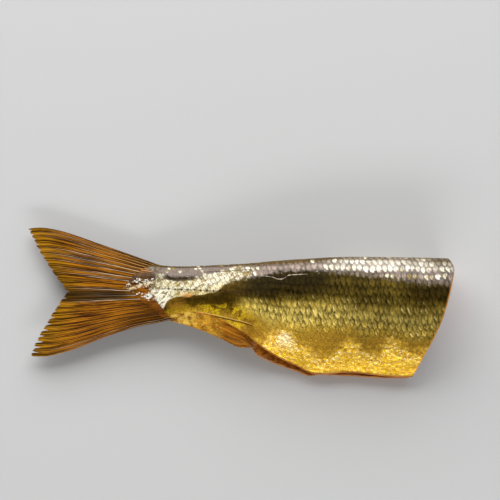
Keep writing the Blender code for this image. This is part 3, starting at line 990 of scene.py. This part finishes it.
# %% Where the tongue ends and where it glints
TONGUE_END = [(-15, 70.5), (-12, 68.5), (-8, 65.2), (-4, 62.4), (-1, 60.4), (1, 59.5), (3, 61.0), (6, 62.0),
              (8, 61.0), (10, 58.8), (13, 56.2)]
past_end = station + (mottle - 0.5) * 7 + (grain - 0.5) * 5 - skin.curve(height, TONGUE_END, 50, 75)
tongue = past_end.below(-1.0, 1.0) * station.below(71, 73)
flakes = {"Vector": skin.join(x * 0.9, y * 1.5, z * 1.5), "Scale": 1.0}
flake_luck, flake_tone, _ = skin.split(skin.add("ShaderNodeTexVoronoi", {}, flakes, output=1))
upper_glints = (height - 3.6).near(1.0, 3.0)
lower_glints = (height + 3.2).near(0.8, 2.8) * station.between(46, 53)
inner = down.between(0.10, 0.26) * down.below(0.74, 0.92)
glinting_flakes = ((upper_glints * 0.42).most(lower_glints * 0.85) * inner - flake_luck).between(0.0, 0.06)
glinting_flakes = glinting_flakes * (mottle + grain - 1).between(-0.25, -0.10)
report("the tongue")

# %% Brown skin with rays, glints and one bright streak
fan = height / (110 - station)
spread = skin.noise(skin.join(station * 0.10, fan * 42, 0.0), 1.0, 3.0, 0.65)
above = height.between(5.5, 8.0)
ray_line = (((fan * 52 + (spread - 0.5) * 1.2) % 1.0) - 0.5).near(0.08, 0.26)
brown = skin.blend(spread.between(0.40, 0.60), (40, 22, 4), (158, 96, 22)).tint(1 - above * 0.25)
brown = brown.coat(ray_line * above * 0.75, (228, 168, 104))
cluster = (height - 5.8).near(2.4, 4.0) * station.between(46, 50)
brown = brown.coat(cluster * 0.85, skin.blend(flake_tone, (14, 8, 3), (74, 48, 18)))
brown = brown.coat(height.below(-6.0, -3.6) * 0.6, (118, 66, 20))
# Painted highlights: the flakes glint from grey-brown to near white, greyer in the upper band.
glinting = flake_tone.between(0.1, 0.5) * (1 - upper_glints * 0.4)
wet_skin = skin.blend(glinting_flakes, brown, skin.blend(glinting, (176, 150, 112), (255, 252, 240)))
from_streak = height - (station - 45.5) * 0.33 + 0.8 + (mottle - 0.5) * 1.4
streak = from_streak.near(0.3, 1.2) * station.between(45, 48) * (grain + mottle).between(0.90, 1.02)
wet_skin = wet_skin.coat(streak, skin.blend(grain.between(0.4, 0.6), (214, 170, 96), (255, 244, 206)))
base = base.coat(tongue, wet_skin)
report("wet skin")

# %% [markdown]
# #### Fine lines
# Three thin lines cross the skin: the pores of the lateral line, the crease above the folded anal fin,
# with painted shade below it and a painted highlight above, and a crack high on the flank that shows a
# dark gap and a pale lip.

# %% Pores, crease and crack
PORE_PITCH = 3.2
CREASE = [(80, -10.6), (86, -11.4), (92, -12.6), (100, -14.4), (108, -16.4), (114, -19.0)]
CRACK = [(116, 7.2), (120.5, 6.5), (124.5, 5.5), (126.5, 6.0), (129, 7.5), (133, 7.8), (138, 8.0)]
from_line = row * ROW_PITCH[1][1]
pore = hypotenuse(((station / PORE_PITCH % 1.0) - 0.5) * PORE_PITCH, from_line).below(0.40, 0.80)
pore = pore.most(from_line.near(0.12, 0.40) * 0.6)
pore = pore * station.between(64, 67) * (1 - station.between(96, 112) * 0.75)
base = base.coat(pore * 0.9, (50, 34, 12))
from_crease = height - skin.curve(station, CREASE, -22, -8)
crease_reach = station.between(80, 86) * station.below(106, 114) * down.between(0.5, 0.6)
# A painted shade line just below the crease and a painted highlight line on it.
base = base.coat((from_crease + 0.55).near(0.15, 0.6) * crease_reach * 0.9, (60, 36, 6))
base = base.coat(from_crease.near(0.1, 0.4) * crease_reach * 0.8, (232, 180, 92))
over = height - skin.curve(station, CRACK, 5, 9)
crack_reach = station.between(115.5, 118) * station.below(135, 139)
base = base.coat(over.between(0.1, 0.35) * over.below(0.5, 1.0) * crack_reach, (30, 20, 10))
base = base.coat(over.near(0.10, 0.28) * crack_reach * 0.8, (190, 172, 150))
report("fine lines")

# %% [markdown]
# #### Each scale on its own
# Each scale gets a painted glint in an arc just ahead of its free edge, painted shade in the crevice
# where the next one covers it, painted light on its dome, and a tone a little lighter or darker than its
# neighbours'; the lit part of the flank is painted brighter. The dried edge of the cut comes last.

# %% Painted glints, painted crevice shade, painted dome light and tones of single scales
glint = hypotenuse((offset + 0.08) * 2.3, (ahead - 0.24 - offset * 0.20) * 5.0).below(0.2, 0.9)
glint = glint * luck.between(0.35, 1.0) * scaled * lit.between(0.2, 0.3)
base = base.coat(glint * (0.42 - late * 0.12), (240, 228, 168))
# Painted shade in each scale's crevice, on the flank and on the scales left on the back.
on_flank = scaled * 0.65 * (0.45 + luck * 0.55) * (1 - in_dark * station.below(135, 165) * 0.75)
on_back = (1 - shadow_side) * kept * (0.7 - shine * 0.42)
painted_crevice_shade = crevice * (on_flank + on_back) * (1 - tongue) * (1 - highlight_blob * 0.8)
# Painted light makes each scale's dome lighter in its middle; its own tone and streaks vary it too.
dome_light_and_tone = 1 + (dome - 0.45) * 0.60 * scaled + (tone - 0.5) * (scaled * 0.5)
dome_light_and_tone = dome_light_and_tone + (streaks - 0.5) * (scaled * 2.2 + 0.4) * shadow_side
# Painted light: the lit scales of the flank are made brighter.
sunny = 1 + scaled * lit.between(0.2, 0.35) * station.below(150, 172) * 0.35
rough = 0.86 + grain * 0.28 + (speckle - 0.5) * (0.4 + shadow_side * (1 - foil) * 1.3)
base = base.tint((1 - painted_crevice_shade) * dome_light_and_tone * sunny * rough)
dried = skin.blend(height.between(2, 10), (204, 130, 50), (112, 78, 38))
base = base.coat(cut.between(CUT_STATION - 0.9, CUT_STATION - 0.3) * 0.65, dried)
report("single scales")

# %% Colour, gloss and fine relief of the skin
skin.set("Base Color", base)
skin.set("Metallic", 0.04 + share.between(0.15, 0.4) * 0.14 + foil * 0.30)
skin.set("Roughness", 0.34 + (grain - 0.5) * 0.2 - foil * 0.08 + painted_crevice_shade * 0.2)
skin.set("Coat Weight", (1 - shadow_side) * 0.22 + foil * 0.30 + tongue * (0.05 + glinting_flakes * 0.4))
bump = (1 - ahead) * 0.5 * (1 - foil) * (1 - tongue) - crevice * 0.4 * (1 - foil)
bump = bump + mottle * 0.5 + grain * 0.2 + glinting_flakes * tongue * 0.8 - pore * 0.6 - groove * 0.4
skin.relief(bump, 0.00028, 0.85)
report("its relief")

# %% [markdown]
# ### Belly edges, cavity and flesh
# Where the belly was slit open, the thin flap has dried to amber leather. The cavity is lined with a
# silvery membrane stained by smoke. The cut flesh is moist and pink, paler in sheets between the muscle
# blocks, redder towards the backbone, with a fine orange line under the skin.

# %% Dried belly edges and the lining of the cavity
def leather(name, stretch, scale, strength, dark, light):
    """The finish of dried skin with drawn-out streaks, and its colour."""
    hide = Finish(name, Roughness=0.4, Specular_IOR_Level=0.2, Coat_Weight=0.1, Coat_Roughness=0.2)
    streak = hide.noise(hide.stretched(stretch), scale, 3.0)
    hide.relief(streak, 0.0003, strength)
    return hide, hide.blend(streak.between(0.35, 0.65), dark, light)


rim, rim_tone = leather("dried belly edge", (0.3, 1.6, 2.2), 0.8, 0.7, (140, 74, 12), (222, 144, 40))
rim.set("Base Color", rim_tone)
tan, light_tan = (122, 64, 12), (190, 120, 40)
lining, lining_tone = leather("smoked belly lining", (0.25, 1.2, 1.2), 0.7, 0.6, tan, light_tan)
cloudy = lining.noise(lining.position(), 0.14, 3.0).between(0.5, 0.7)
lining.set("Base Color", lining_tone.coat(cloudy * 0.4, (160, 132, 104)))
print("finishes:", rim.material.name, "and", lining.material.name)


# %% Moist flesh
flesh = Finish("smoked flesh", Roughness=0.36, Coat_Weight=0.35, Coat_Roughness=0.22, Subsurface_Weight=0.25,
               Subsurface_Radius=(0.004, 0.0016, 0.001))
flesh_y, flesh_z = (number * 10 for number in flesh.map("flank"))
from_bone = hypotenuse((flesh_y - RINGS_Y) * RINGS_SQUASH, flesh_z - RINGS_Z)
wobble = flesh.noise(flesh.position(), 0.30, 3.0) - 0.5
fibre = flesh.noise(flesh.position(), 1.6, 4.0, 0.65)
bands = (from_bone * RINGS_PACE + wobble * 5.0).sine()
pink = flesh.blend(fibre.between(0.3, 0.7), (238, 202, 192), (250, 224, 212))
deep_pink = flesh.blend(fibre.between(0.3, 0.7), (214, 138, 132), (232, 172, 162))
pink = pink.coat((from_bone + wobble * 4).below(2.0, 8.0) * 0.8, deep_pink)
pink = pink.coat(bands.between(0.86, 0.98) * 0.5, (255, 240, 230))
pink = pink.coat((from_bone + (fibre - 0.5) * 3).below(2.6, 4.2) * 0.7, (122, 44, 34))
flesh.set("Base Color", pink)
flesh.relief(bands * 0.4 + fibre, 0.0002, 0.7)
print("finish:", flesh.material.name)

# %% The body as one piece
looks = [finish.material for finish in (skin, rim, lining, flesh)]
body = make_mesh("smoked_body", *body_arrays(), looks)
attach(body, "root")
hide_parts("body")

# %% How far the skin strays from the CAD body
cad_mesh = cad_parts["body"].data
cad_tree = BVHTree.FromPolygons([v.co for v in cad_mesh.vertices], [p.vertices for p in cad_mesh.polygons])
ahead_of_fin = [v.co for v in body.data.vertices if v.co.x > body_low[0]]
strays = [cad_tree.find_nearest(co)[3] / MM for co in ahead_of_fin[::40]]
print("skin strays from the CAD body by", round(max(strays), 2), "mm at most")

# %% [markdown]
# ## The tail fin
# A tail fin is a fan of bony rays with thin skin between them. Each ray forks on its way out and forks
# again, and at the hind edge the skin has dried and frayed between the tips. The sheet is a grid with
# one side along the rays, so ridges follow the rays and the frayed edge comes from how far each column
# of the grid reaches.

# %% Measures of the tail fin
FIN_ROOT = 63.7
FIN_BACK_ROOT = (FIN_ROOT, 12.6)
FIN_BELLY_ROOT = (FIN_ROOT, -16.4)
TUCKED_IN = 0.11
FIN_UPPER_TIP = (-2.6, 29.9)
FIN_FORK = (17.2, -0.8)
FIN_LOWER_TIP = (-1.7, -32.6)
HIND_BOW = 1.2
UPPER_SWELL = [(0.0, 0.0), (0.29, 1.9), (0.47, 2.9), (0.61, 3.8), (0.74, 4.2), (0.88, 3.4), (1.0, 0.8)]
LOWER_SWELL = [(0.0, 0.0), (0.13, -0.5), (0.25, -0.4), (0.43, 0.7), (0.52, 1.7), (0.66, 2.9), (0.75, 3.1),
               (0.85, 3.0), (0.94, 1.7), (1.0, 0.4)]
FIN_RAYS = 22
FIN_ROWS, FIN_COLUMNS = 110, 400
FIN_THICKNESS = (2.4, 0.7)


def fin_outline(out, across):
    """Station and level on the fin: out from its root to its tips, across from back to belly."""
    def mix(a, b, share):
        return a[0] + (b[0] - a[0]) * share, a[1] + (b[1] - a[1]) * share

    root_x, root_y = mix(FIN_BACK_ROOT, FIN_BELLY_ROOT, across)
    up_x, up_y = mix(FIN_UPPER_TIP, FIN_FORK, np.clip(across * 2, 0, 1))
    low_x, low_y = mix(FIN_FORK, FIN_LOWER_TIP, np.clip(across * 2 - 1, 0, 1))
    upper = across <= 0.5
    tip_x, tip_y = np.where(upper, up_x, low_x), np.where(upper, up_y, low_y)
    swell = np.where(upper, along(UPPER_SWELL, out), -along(LOWER_SWELL, out)) * (across * 2 - 1) ** 2
    bow = HIND_BOW * np.abs(np.sin(2 * math.pi * across))
    return root_x + (tip_x - bow - root_x) * out, root_y + (tip_y - root_y) * out + swell


def ray_number(across):
    """Rays counted from the back edge; they stand closer together towards both leading edges."""
    upper = (np.clip(across, 0, 0.5) * 2) ** 0.72
    lower = 1 - (2 - np.clip(across, 0.5, 1) * 2) ** 0.85
    return FIN_RAYS / 2 * (upper + lower)


def ray_relief(out, ray):
    """Ridges of the rays, which fork twice on the way out: 0 between rays, 1 on a ray."""
    number = np.floor(ray)
    first = 0.34 + 0.14 * tile_chance(number, 0 * number, 5)
    second = 0.62 + 0.12 * tile_chance(number, 0 * number, 6)
    whole = (0.5 - 0.5 * np.cos(2 * math.pi * ray)) ** 1.5
    halves = (0.5 - 0.5 * np.cos(4 * math.pi * ray)) ** 1.3
    quarters = 0.5 - 0.5 * np.cos(8 * math.pi * ray)
    fork = smooth(out, first - 0.12, first + 0.12)
    again = smooth(out, second - 0.12, second + 0.12)
    return whole * (1 - fork) + halves * fork * (1 - again) * 0.8 + quarters * again * 0.6


def fray(ray):
    """How far a column of the fin reaches, in shares of its length, with worn tips and narrow splits."""
    reach = np.full_like(ray, 0.962)
    for count, depth, seed in ((1, 0.022, 11), (2, 0.016, 12), (4, 0.008, 13)):
        tooth = np.floor(ray * count)
        place_in = ray * count - tooth
        size = 0.4 + 0.6 * tile_chance(tooth, 0 * tooth, seed)
        reach += depth * size * (1 - np.abs(2 * place_in - 1)) ** 0.8
    split = np.floor(ray + 0.5)
    open_here = tile_chance(split, 0 * split, 21) * (split > FIN_RAYS / 2) + 0.25 * (split == FIN_RAYS / 2)
    return reach - 0.035 * open_here * np.exp(-(((ray - split) / 0.13) ** 2))


print("the fork of the fin lies", round(FIN_FORK[0] - FIN_LOWER_TIP[0], 1), "mm ahead of its lower tip")

# %% The tail fin as a thin closed sheet
def sheet_arrays(x, y, z, thick, maps):
    """A grid of middle points and thicknesses, closed into a thin solid of one zone."""
    n, m = x.shape
    top = place(x, y, z + thick / 2).reshape(-1, 3)
    under = place(x, y, z - thick / 2).reshape(-1, 3)
    faces = []
    for i in range(n - 1):
        for j in range(m - 1):
            a, b, c, d = i * m + j, i * m + j + 1, (i + 1) * m + j + 1, (i + 1) * m + j
            faces.append((a, b, c, d))
            faces.append((d + n * m, c + n * m, b + n * m, a + n * m))
    rim = [(i, 0) for i in range(n)] + [(n - 1, j) for j in range(1, m)]
    rim += [(i, m - 1) for i in range(n - 2, -1, -1)] + [(0, j) for j in range(m - 2, 0, -1)]
    for (i, j), (p, q) in zip(rim, rim[1:] + rim[:1]):
        a, b = i * m + j, p * m + q
        faces.append((a, b, b + n * m, a + n * m))
    doubled = {name: np.tile(values.reshape(-1, 2), (2, 1)) for name, values in maps.items()}
    return np.concatenate([top, under]), faces, [0] * len(faces), doubled


def fin_middle(x, y):
    bow = 0.9 * np.sin(y / 9.0) * smooth(-x, -45, 0)
    return along(MID_HEIGHT, x) - along(ROLL, x) * y + bow


out_steps, across_steps = np.linspace(-TUCKED_IN, 1, FIN_ROWS + 1), np.linspace(0, 1, FIN_COLUMNS + 1)
out_share, across_share = np.meshgrid(out_steps, across_steps, indexing="ij")
ray_count = ray_number(across_share)
reach_share = out_share * fray(ray_count)
fin_x, fin_y = fin_outline(reach_share, across_share)
ridges = ray_relief(reach_share, ray_count)
wavy = ripples(np.stack([fin_x * 0.5, fin_y, 0 * fin_x], -1), 7, 2)
fin_z = fin_middle(fin_x, fin_y) + 0.5 * wavy * smooth(reach_share, 0.1, 0.6)
root_thick, tip_thick = FIN_THICKNESS
fin_thick = root_thick + (tip_thick - root_thick) * np.maximum(reach_share, 0) ** 0.6
fin_thick *= 0.55 + 0.45 * ridges
fin_thick *= 1 - 0.55 * smooth(reach_share, 0.93, 1.0)
fin_maps = {"rays": np.stack([reach_share, ray_count], -1)}
fin_arrays = sheet_arrays(fin_x, fin_y, fin_z, fin_thick, fin_maps)
print("the fin spans", round(float(np.ptp(fin_y)), 1), "mm")
print("and is at most", round(float(fin_thick.max()), 1), "mm thick")


# %% [markdown]
# ### The fins' finish
# Dried fin skin is amber, browner where it is thick near the root and yellow at the worn tips. The bony
# rays show as thin pale lines that carry painted highlights, each with a painted shade line beside it.

# %% Where the rays lie in the finish
FIN_TINT = (1.0, 0.75, 0.45, 1.0)
fin = Finish("amber fin", Coat_Roughness=0.2, Specular_IOR_Level=0.05, Specular_Tint=FIN_TINT)
out, ray = fin.map("rays")
drift = fin.noise(fin.join(out * 3, ray * 0.5), 1.3, 2.0)
fin_streak = fin.noise(fin.join(out * 1.1, ray * 1.3), 2.2, 4.0, 0.68)
fine = fin.noise(fin.join(out * 2.2, ray * 5.0, 4.0), 2.0, 3.0, 0.6)
fin_cloud = fin.noise(fin.position(), 0.10, 3.0)
ray_luck = fin.chance((ray + 0.5).floor(), 1.0, 2.0)
drift = (drift - 0.5) * 0.4
spacing = 1.2 + out * 2.2
forked = (out + (ray_luck - 0.5) * 0.2).between(0.34, 0.56)
print("the fin's finish follows", FIN_RAYS, "rays")

# %% Pale rays with painted highlights, painted shade beside them and the fold at the fork
from_ray = (((ray + drift) % 1.0) - 0.5) * spacing
from_twin = (((ray * 2 + drift * 2) % 1.0) - 0.5) * spacing * 0.5
from_pleat = (((ray * 4 + drift * 5) % 1.0) - 0.5).size() * spacing * 0.25
from_fold = ray - (FIN_RAYS / 2 + 0.5)
leading = ray.between(0.5, 3.5) * ray.below(FIN_RAYS - 3.0, FIN_RAYS - 0.5)
bundle = ray.below(4.0, 6.5) * out.below(0.40, 0.75)
shown = ray_luck.between(0.35, 0.65) * (0.4 + leading * 0.6)
shown = shown.most(from_fold.near(0.9, 1.8) * 0.9).most(bundle)
whole_line = from_ray.near(0.06, 0.22) * (1 - forked * 0.3)
twin_line = from_twin.near(0.03, 0.15) * forked * 0.35
fading = out.below(0.60, 1.0) * (0.45 + fin_streak.between(0.35, 0.55) * 0.55)
pale_ray_highlight = whole_line.most(twin_line) * fading * shown
shade_beside_ray = (from_ray + 0.38).near(0.12, 0.36).most((from_twin + 0.30).near(0.08, 0.26) * forked * 0.8)
pleats = from_pleat.below(0.05, 0.16) * 0.5
fold = (from_fold + (fin_streak - 0.5)).near(0.5, 1.3) * out.between(0.16, 0.40)
print("the fold at the fork lies on ray", FIN_RAYS / 2 + 0.5)

# %% Amber colours
amber = fin.blend(fin_streak.between(0.41, 0.57), (88, 44, 3), (198, 124, 22))
amber = amber.coat(fine.between(0.52, 0.70) * 0.5, (206, 136, 30))
amber = amber.coat(pleats * fin_streak.between(0.40, 0.6), (64, 32, 2))
worn_tips = fin.blend(fin_streak.between(0.4, 0.6), (96, 64, 3), (182, 132, 18))
amber = amber.coat(out.between(0.62, 0.98) * 0.75, worn_tips)
amber = amber.tint((0.53 + fin_cloud * 0.86) * (0.62 + out.between(0.05, 0.45) * 0.38))
amber = amber.coat(shade_beside_ray * 0.9, (34, 16, 1))
amber = amber.coat(pale_ray_highlight * 0.95, fin.blend(bundle, (252, 230, 196), (246, 188, 108)))
# Painted shade in the fold where the two lobes overlap at the fork.
amber = amber.coat(fold * 0.85, (40, 26, 3))
fin.set("Base Color", amber)
fin.set("Roughness", 0.36 + fin_streak * 0.2)
fin.set("Coat Weight", 0.04 + pale_ray_highlight * 0.3)
fin.relief(pale_ray_highlight * 0.8 + fin_streak * 0.8 + fine * 0.5 - shade_beside_ray * 0.5, 0.0003, 0.8)

tail_fin = make_mesh("rayed_tail_fin", *fin_arrays, [fin.material])
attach(tail_fin, "root")
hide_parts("tail_fin")

# %% [markdown]
# ## The anal fin
# Folded back along the belly, its rays lie almost parallel, and its free edge is thin and a little torn.

# %% The folded anal fin
ANAL_START, ANAL_END = 69.6, 110.0
ANAL_EDGE = [(69.6, -15.4), (79, -18.1), (84.5, -20.0), (95, -24.5), (102, -28.0), (106.5, -28.9),
             (110.6, -28.6)]
ANAL_RAYS = 9
ANAL_SAG = 6.0


def anal_arrays():
    along_share, out = np.meshgrid(np.linspace(0, 1, 220), np.linspace(0, 1, 60), indexing="ij")
    x = ANAL_START + (ANAL_END - ANAL_START) * along_share
    root = level(x, 1.0, -1) + 0.5
    edge = np.minimum(along(ANAL_EDGE, x), root - 0.9)
    torn = 0.5 * ripples(np.stack([x * 2.2, 0 * x, 0 * x], -1), 3.0, 3) * smooth(out, 0.6, 1.0)
    y = root + (edge - root) * out + torn
    slant = out * ANAL_RAYS * 0.8 + along_share * 3.4
    ridge = 0.5 - 0.5 * np.cos(2 * math.pi * slant)
    thick = (1.2 - 0.75 * out) * (0.7 + 0.3 * ridge)
    fold = 0.55 * np.sin(out * 7.0 + along_share * 5.0) * smooth(out, 0.1, 0.5)
    z = middle(x, 1.0) + 1.5 - ANAL_SAG * along(ROLL, x) * out + fold
    maps = {"rays": np.stack([out, slant], -1)}
    return sheet_arrays(x, y, z, thick, maps)


print("the anal fin lies folded from station", ANAL_START, "to", ANAL_END)

# %% Yellow gold that dries to brown where the fin's tip bends under the belly
gold = Finish("golden anal fin", Coat_Weight=0.05, Coat_Roughness=0.2, Specular_IOR_Level=0.1,
              Specular_Tint=FIN_TINT)
anal_out, anal_ray = gold.map("rays")
anal_station = gold.split(gold.position())[0] - STATION_ZERO / MM
blotches = gold.noise(gold.position(), 0.30, 4.0, 0.65)
anal_streak = gold.noise(gold.join(anal_out * 2.5, anal_ray * 1.2), 2.2, 4.0, 0.68)
speck = gold.noise(gold.position(), 1.3, 3.0, 0.65)
yellow = gold.blend(blotches.between(0.38, 0.62), (146, 92, 16), (216, 158, 40))
yellow = yellow.coat(speck.between(0.54, 0.64) * 0.6, (238, 204, 96))
yellow = yellow.coat(anal_streak.between(0.5, 0.7) * 0.35, (120, 74, 10))
# Painted highlight on the first stretch of the fin, near its root.
yellow = yellow.coat(anal_station.below(78, 85) * blotches.between(0.40, 0.56) * 0.7, (240, 204, 92))
dry = gold.blend(anal_streak.between(0.42, 0.58), (66, 32, 2), (190, 120, 26))
yellow = yellow.coat((anal_station.between(88, 102) + (blotches - 0.5) * 0.8).between(0.2, 0.8), dry)
gold.set("Base Color", yellow.coat(anal_out.between(0.86, 1.0) * 0.5, (176, 110, 30)))
gold.set("Roughness", 0.34 + anal_streak * 0.2)
gold.relief(anal_streak * 0.5 + blotches * 0.8 + speck * 0.4, 0.0003, 0.8)

anal_fin = make_mesh("folded_anal_fin", *anal_arrays(), [gold.material])
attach(anal_fin, "root")
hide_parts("anal_fin")

# %% [markdown]
# ## The backbone
# A fish's backbone is a chain of hourglass-shaped vertebrae. It runs through the flesh and shows as a
# ring of bone at the knife cut, so it is turned as one profile that swells at every joint, and its last
# face is pulled onto the plane of the cut.

# %% A chain of vertebrae
VERTEBRA = 3.4
BONE_RADIUS = [(66, 1.2), (105, 2.0), (150, 2.7), (225, 2.9)]
BONE_START = 72.0
BONE_SIDES = 40


def backbone_arrays():
    end = GUESS
    for _ in range(10):
        end = float(cut_at(level(end, BONE_LEVEL, 1), middle(end, BONE_LEVEL)))
    x = np.linspace(BONE_START, end, 500)
    swell = 0.80 + 0.20 * np.abs(np.cos(math.pi * x / VERTEBRA)) ** 0.7
    radius = along(BONE_RADIUS, x) * np.where(x > end - 0.6, 1.0, swell)
    turn = np.linspace(0, 2 * math.pi, BONE_SIDES, endpoint=False)
    centre_y, centre_z = level(x, BONE_LEVEL, 1), middle(x, BONE_LEVEL)
    y = centre_y[:, None] + radius[:, None] * np.cos(turn)
    z = centre_z[:, None] + radius[:, None] * np.sin(turn)
    xs = x[:, None] + (cut_at(y, z) - end) * smooth(x, end - 14, end)[:, None]
    rings = [np.stack([xs, y, z], -1)]
    for share, dip in ((0.82, 0.15), (0.62, -0.25), (0.36, -0.9), (0.12, -1.3)):
        yy = centre_y[-1] + (y[-1] - centre_y[-1]) * share
        zz = centre_z[-1] + (z[-1] - centre_z[-1]) * share
        xx = cut_at(yy, zz) + dip
        rings.append(np.stack([xx, yy, zz], -1)[None])
    rings = np.concatenate(rings)
    n = len(rings)
    points = place(rings[..., 0], rings[..., 1], rings[..., 2]).reshape(-1, 3)
    faces = []
    for i in range(n - 1):
        for k in range(BONE_SIDES):
            m = (k + 1) % BONE_SIDES
            a, b = i * BONE_SIDES, (i + 1) * BONE_SIDES
            faces.append((a + k, b + k, b + m, a + m))
    faces.append(tuple(range(BONE_SIDES)))
    faces.append(tuple((n - 1) * BONE_SIDES + k for k in range(BONE_SIDES - 1, -1, -1)))
    return points, faces, [0] * len(faces), {"plain": points[:, 1:] * 100}


print("a vertebra is", VERTEBRA, "mm long")

# %% Bone
bone = Finish("backbone", Roughness=0.5, Coat_Weight=0.15)
bone_grain = bone.noise(bone.position(), 1.4, 3.0)
bone.set("Base Color", bone.blend(bone_grain.between(0.35, 0.65), (206, 178, 148), (240, 224, 200)))
bone.relief(bone_grain, 0.0002, 0.6)

backbone = make_mesh("vertebral_column", *backbone_arrays(), [bone.material])
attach(backbone, "root")
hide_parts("backbone")

# %% [markdown]
# ## Floor, light and camera
# The fish lies on a plain pale table. Golden skin shows what it mirrors, so the room is built for it:
# dark straight above, bright all round near the table, and a large soft lamp behind the fish's back on
# the tail's side.

# %% The table
TABLE_HALF = 3.0
TABLE_ALBEDO = 0.597
floor_mesh = bpy.data.meshes.new("table")
corners = [(TABLE_HALF * a, TABLE_HALF * b, 0) for a, b in ((-1, -1), (1, -1), (1, 1), (-1, 1))]
floor_mesh.from_pydata(corners, [], [(0, 1, 2, 3)])
floor = bpy.data.objects.new("table", floor_mesh)
bpy.context.scene.collection.objects.link(floor)
table = Finish("pale table", Roughness=0.9, Base_Color=(TABLE_ALBEDO, TABLE_ALBEDO, TABLE_ALBEDO, 1))
floor_mesh.materials.append(table.material)
print("the table reaches", TABLE_HALF, "m to each side")


# %% Lamps and room
def lamp(name, size, power, direction, distance):
    """A soft square lamp that hangs in a direction from the fish and faces it."""
    light = bpy.data.lights.new(name, "AREA")
    light.shape = "RECTANGLE"
    light.size, light.size_y = size
    light.energy = power
    hung = bpy.data.objects.new(name, light)
    bpy.context.scene.collection.objects.link(hung)
    hung.location = Vector(direction).normalized() * distance
    hung.rotation_euler = (-hung.location).to_track_quat("-Z", "Y").to_euler()


lamp("back lamp", (2.2, 1.3), 36.0, (-0.12, 1.0, 0.75), 1.6)
lamp("front fill", (1.3, 0.25), 8.0, (0.1, -1.0, 0.50), 1.4)
print("two lamps hang over the table")

# %% The room, bright near the table and dark above
world = bpy.data.worlds.new("studio")
bpy.context.scene.world = world
world.use_nodes = True
nodes, links = world.node_tree.nodes, world.node_tree.links
direction = nodes.new("ShaderNodeTexCoord")
parts = nodes.new("ShaderNodeSeparateXYZ")
links.new(direction.outputs["Generated"], parts.inputs[0])
fade = nodes.new("ShaderNodeValToRGB")
for stop, (at, grey_level) in zip(fade.color_ramp.elements, ((0.25, 0.72), (0.80, 0.10))):
    stop.position, stop.color = at, (grey_level, grey_level, grey_level, 1)
links.new(parts.outputs["Z"], fade.inputs[0])
links.new(fade.outputs[0], nodes["Background"].inputs[0])
nodes["Background"].inputs[1].default_value = 1.0
print("the room is", world.name)

# %% The camera looks straight down
VIEW_WIDTH = 0.250
FISH_TOP = 0.015
VIEW_CENTRE = (109.4, 20.0)
camera_data = bpy.data.cameras.new("camera")
camera_data.lens = 600
camera = bpy.data.objects.new("camera", camera_data)
bpy.context.scene.collection.objects.link(camera)
bpy.context.scene.camera = camera
view_height = FISH_TOP + VIEW_WIDTH * camera_data.lens / camera_data.sensor_width
camera.location = place(*VIEW_CENTRE, view_height / MM)
bpy.context.scene.view_settings.view_transform = "Standard"
print("camera hangs", round(view_height, 3), "m above the table")
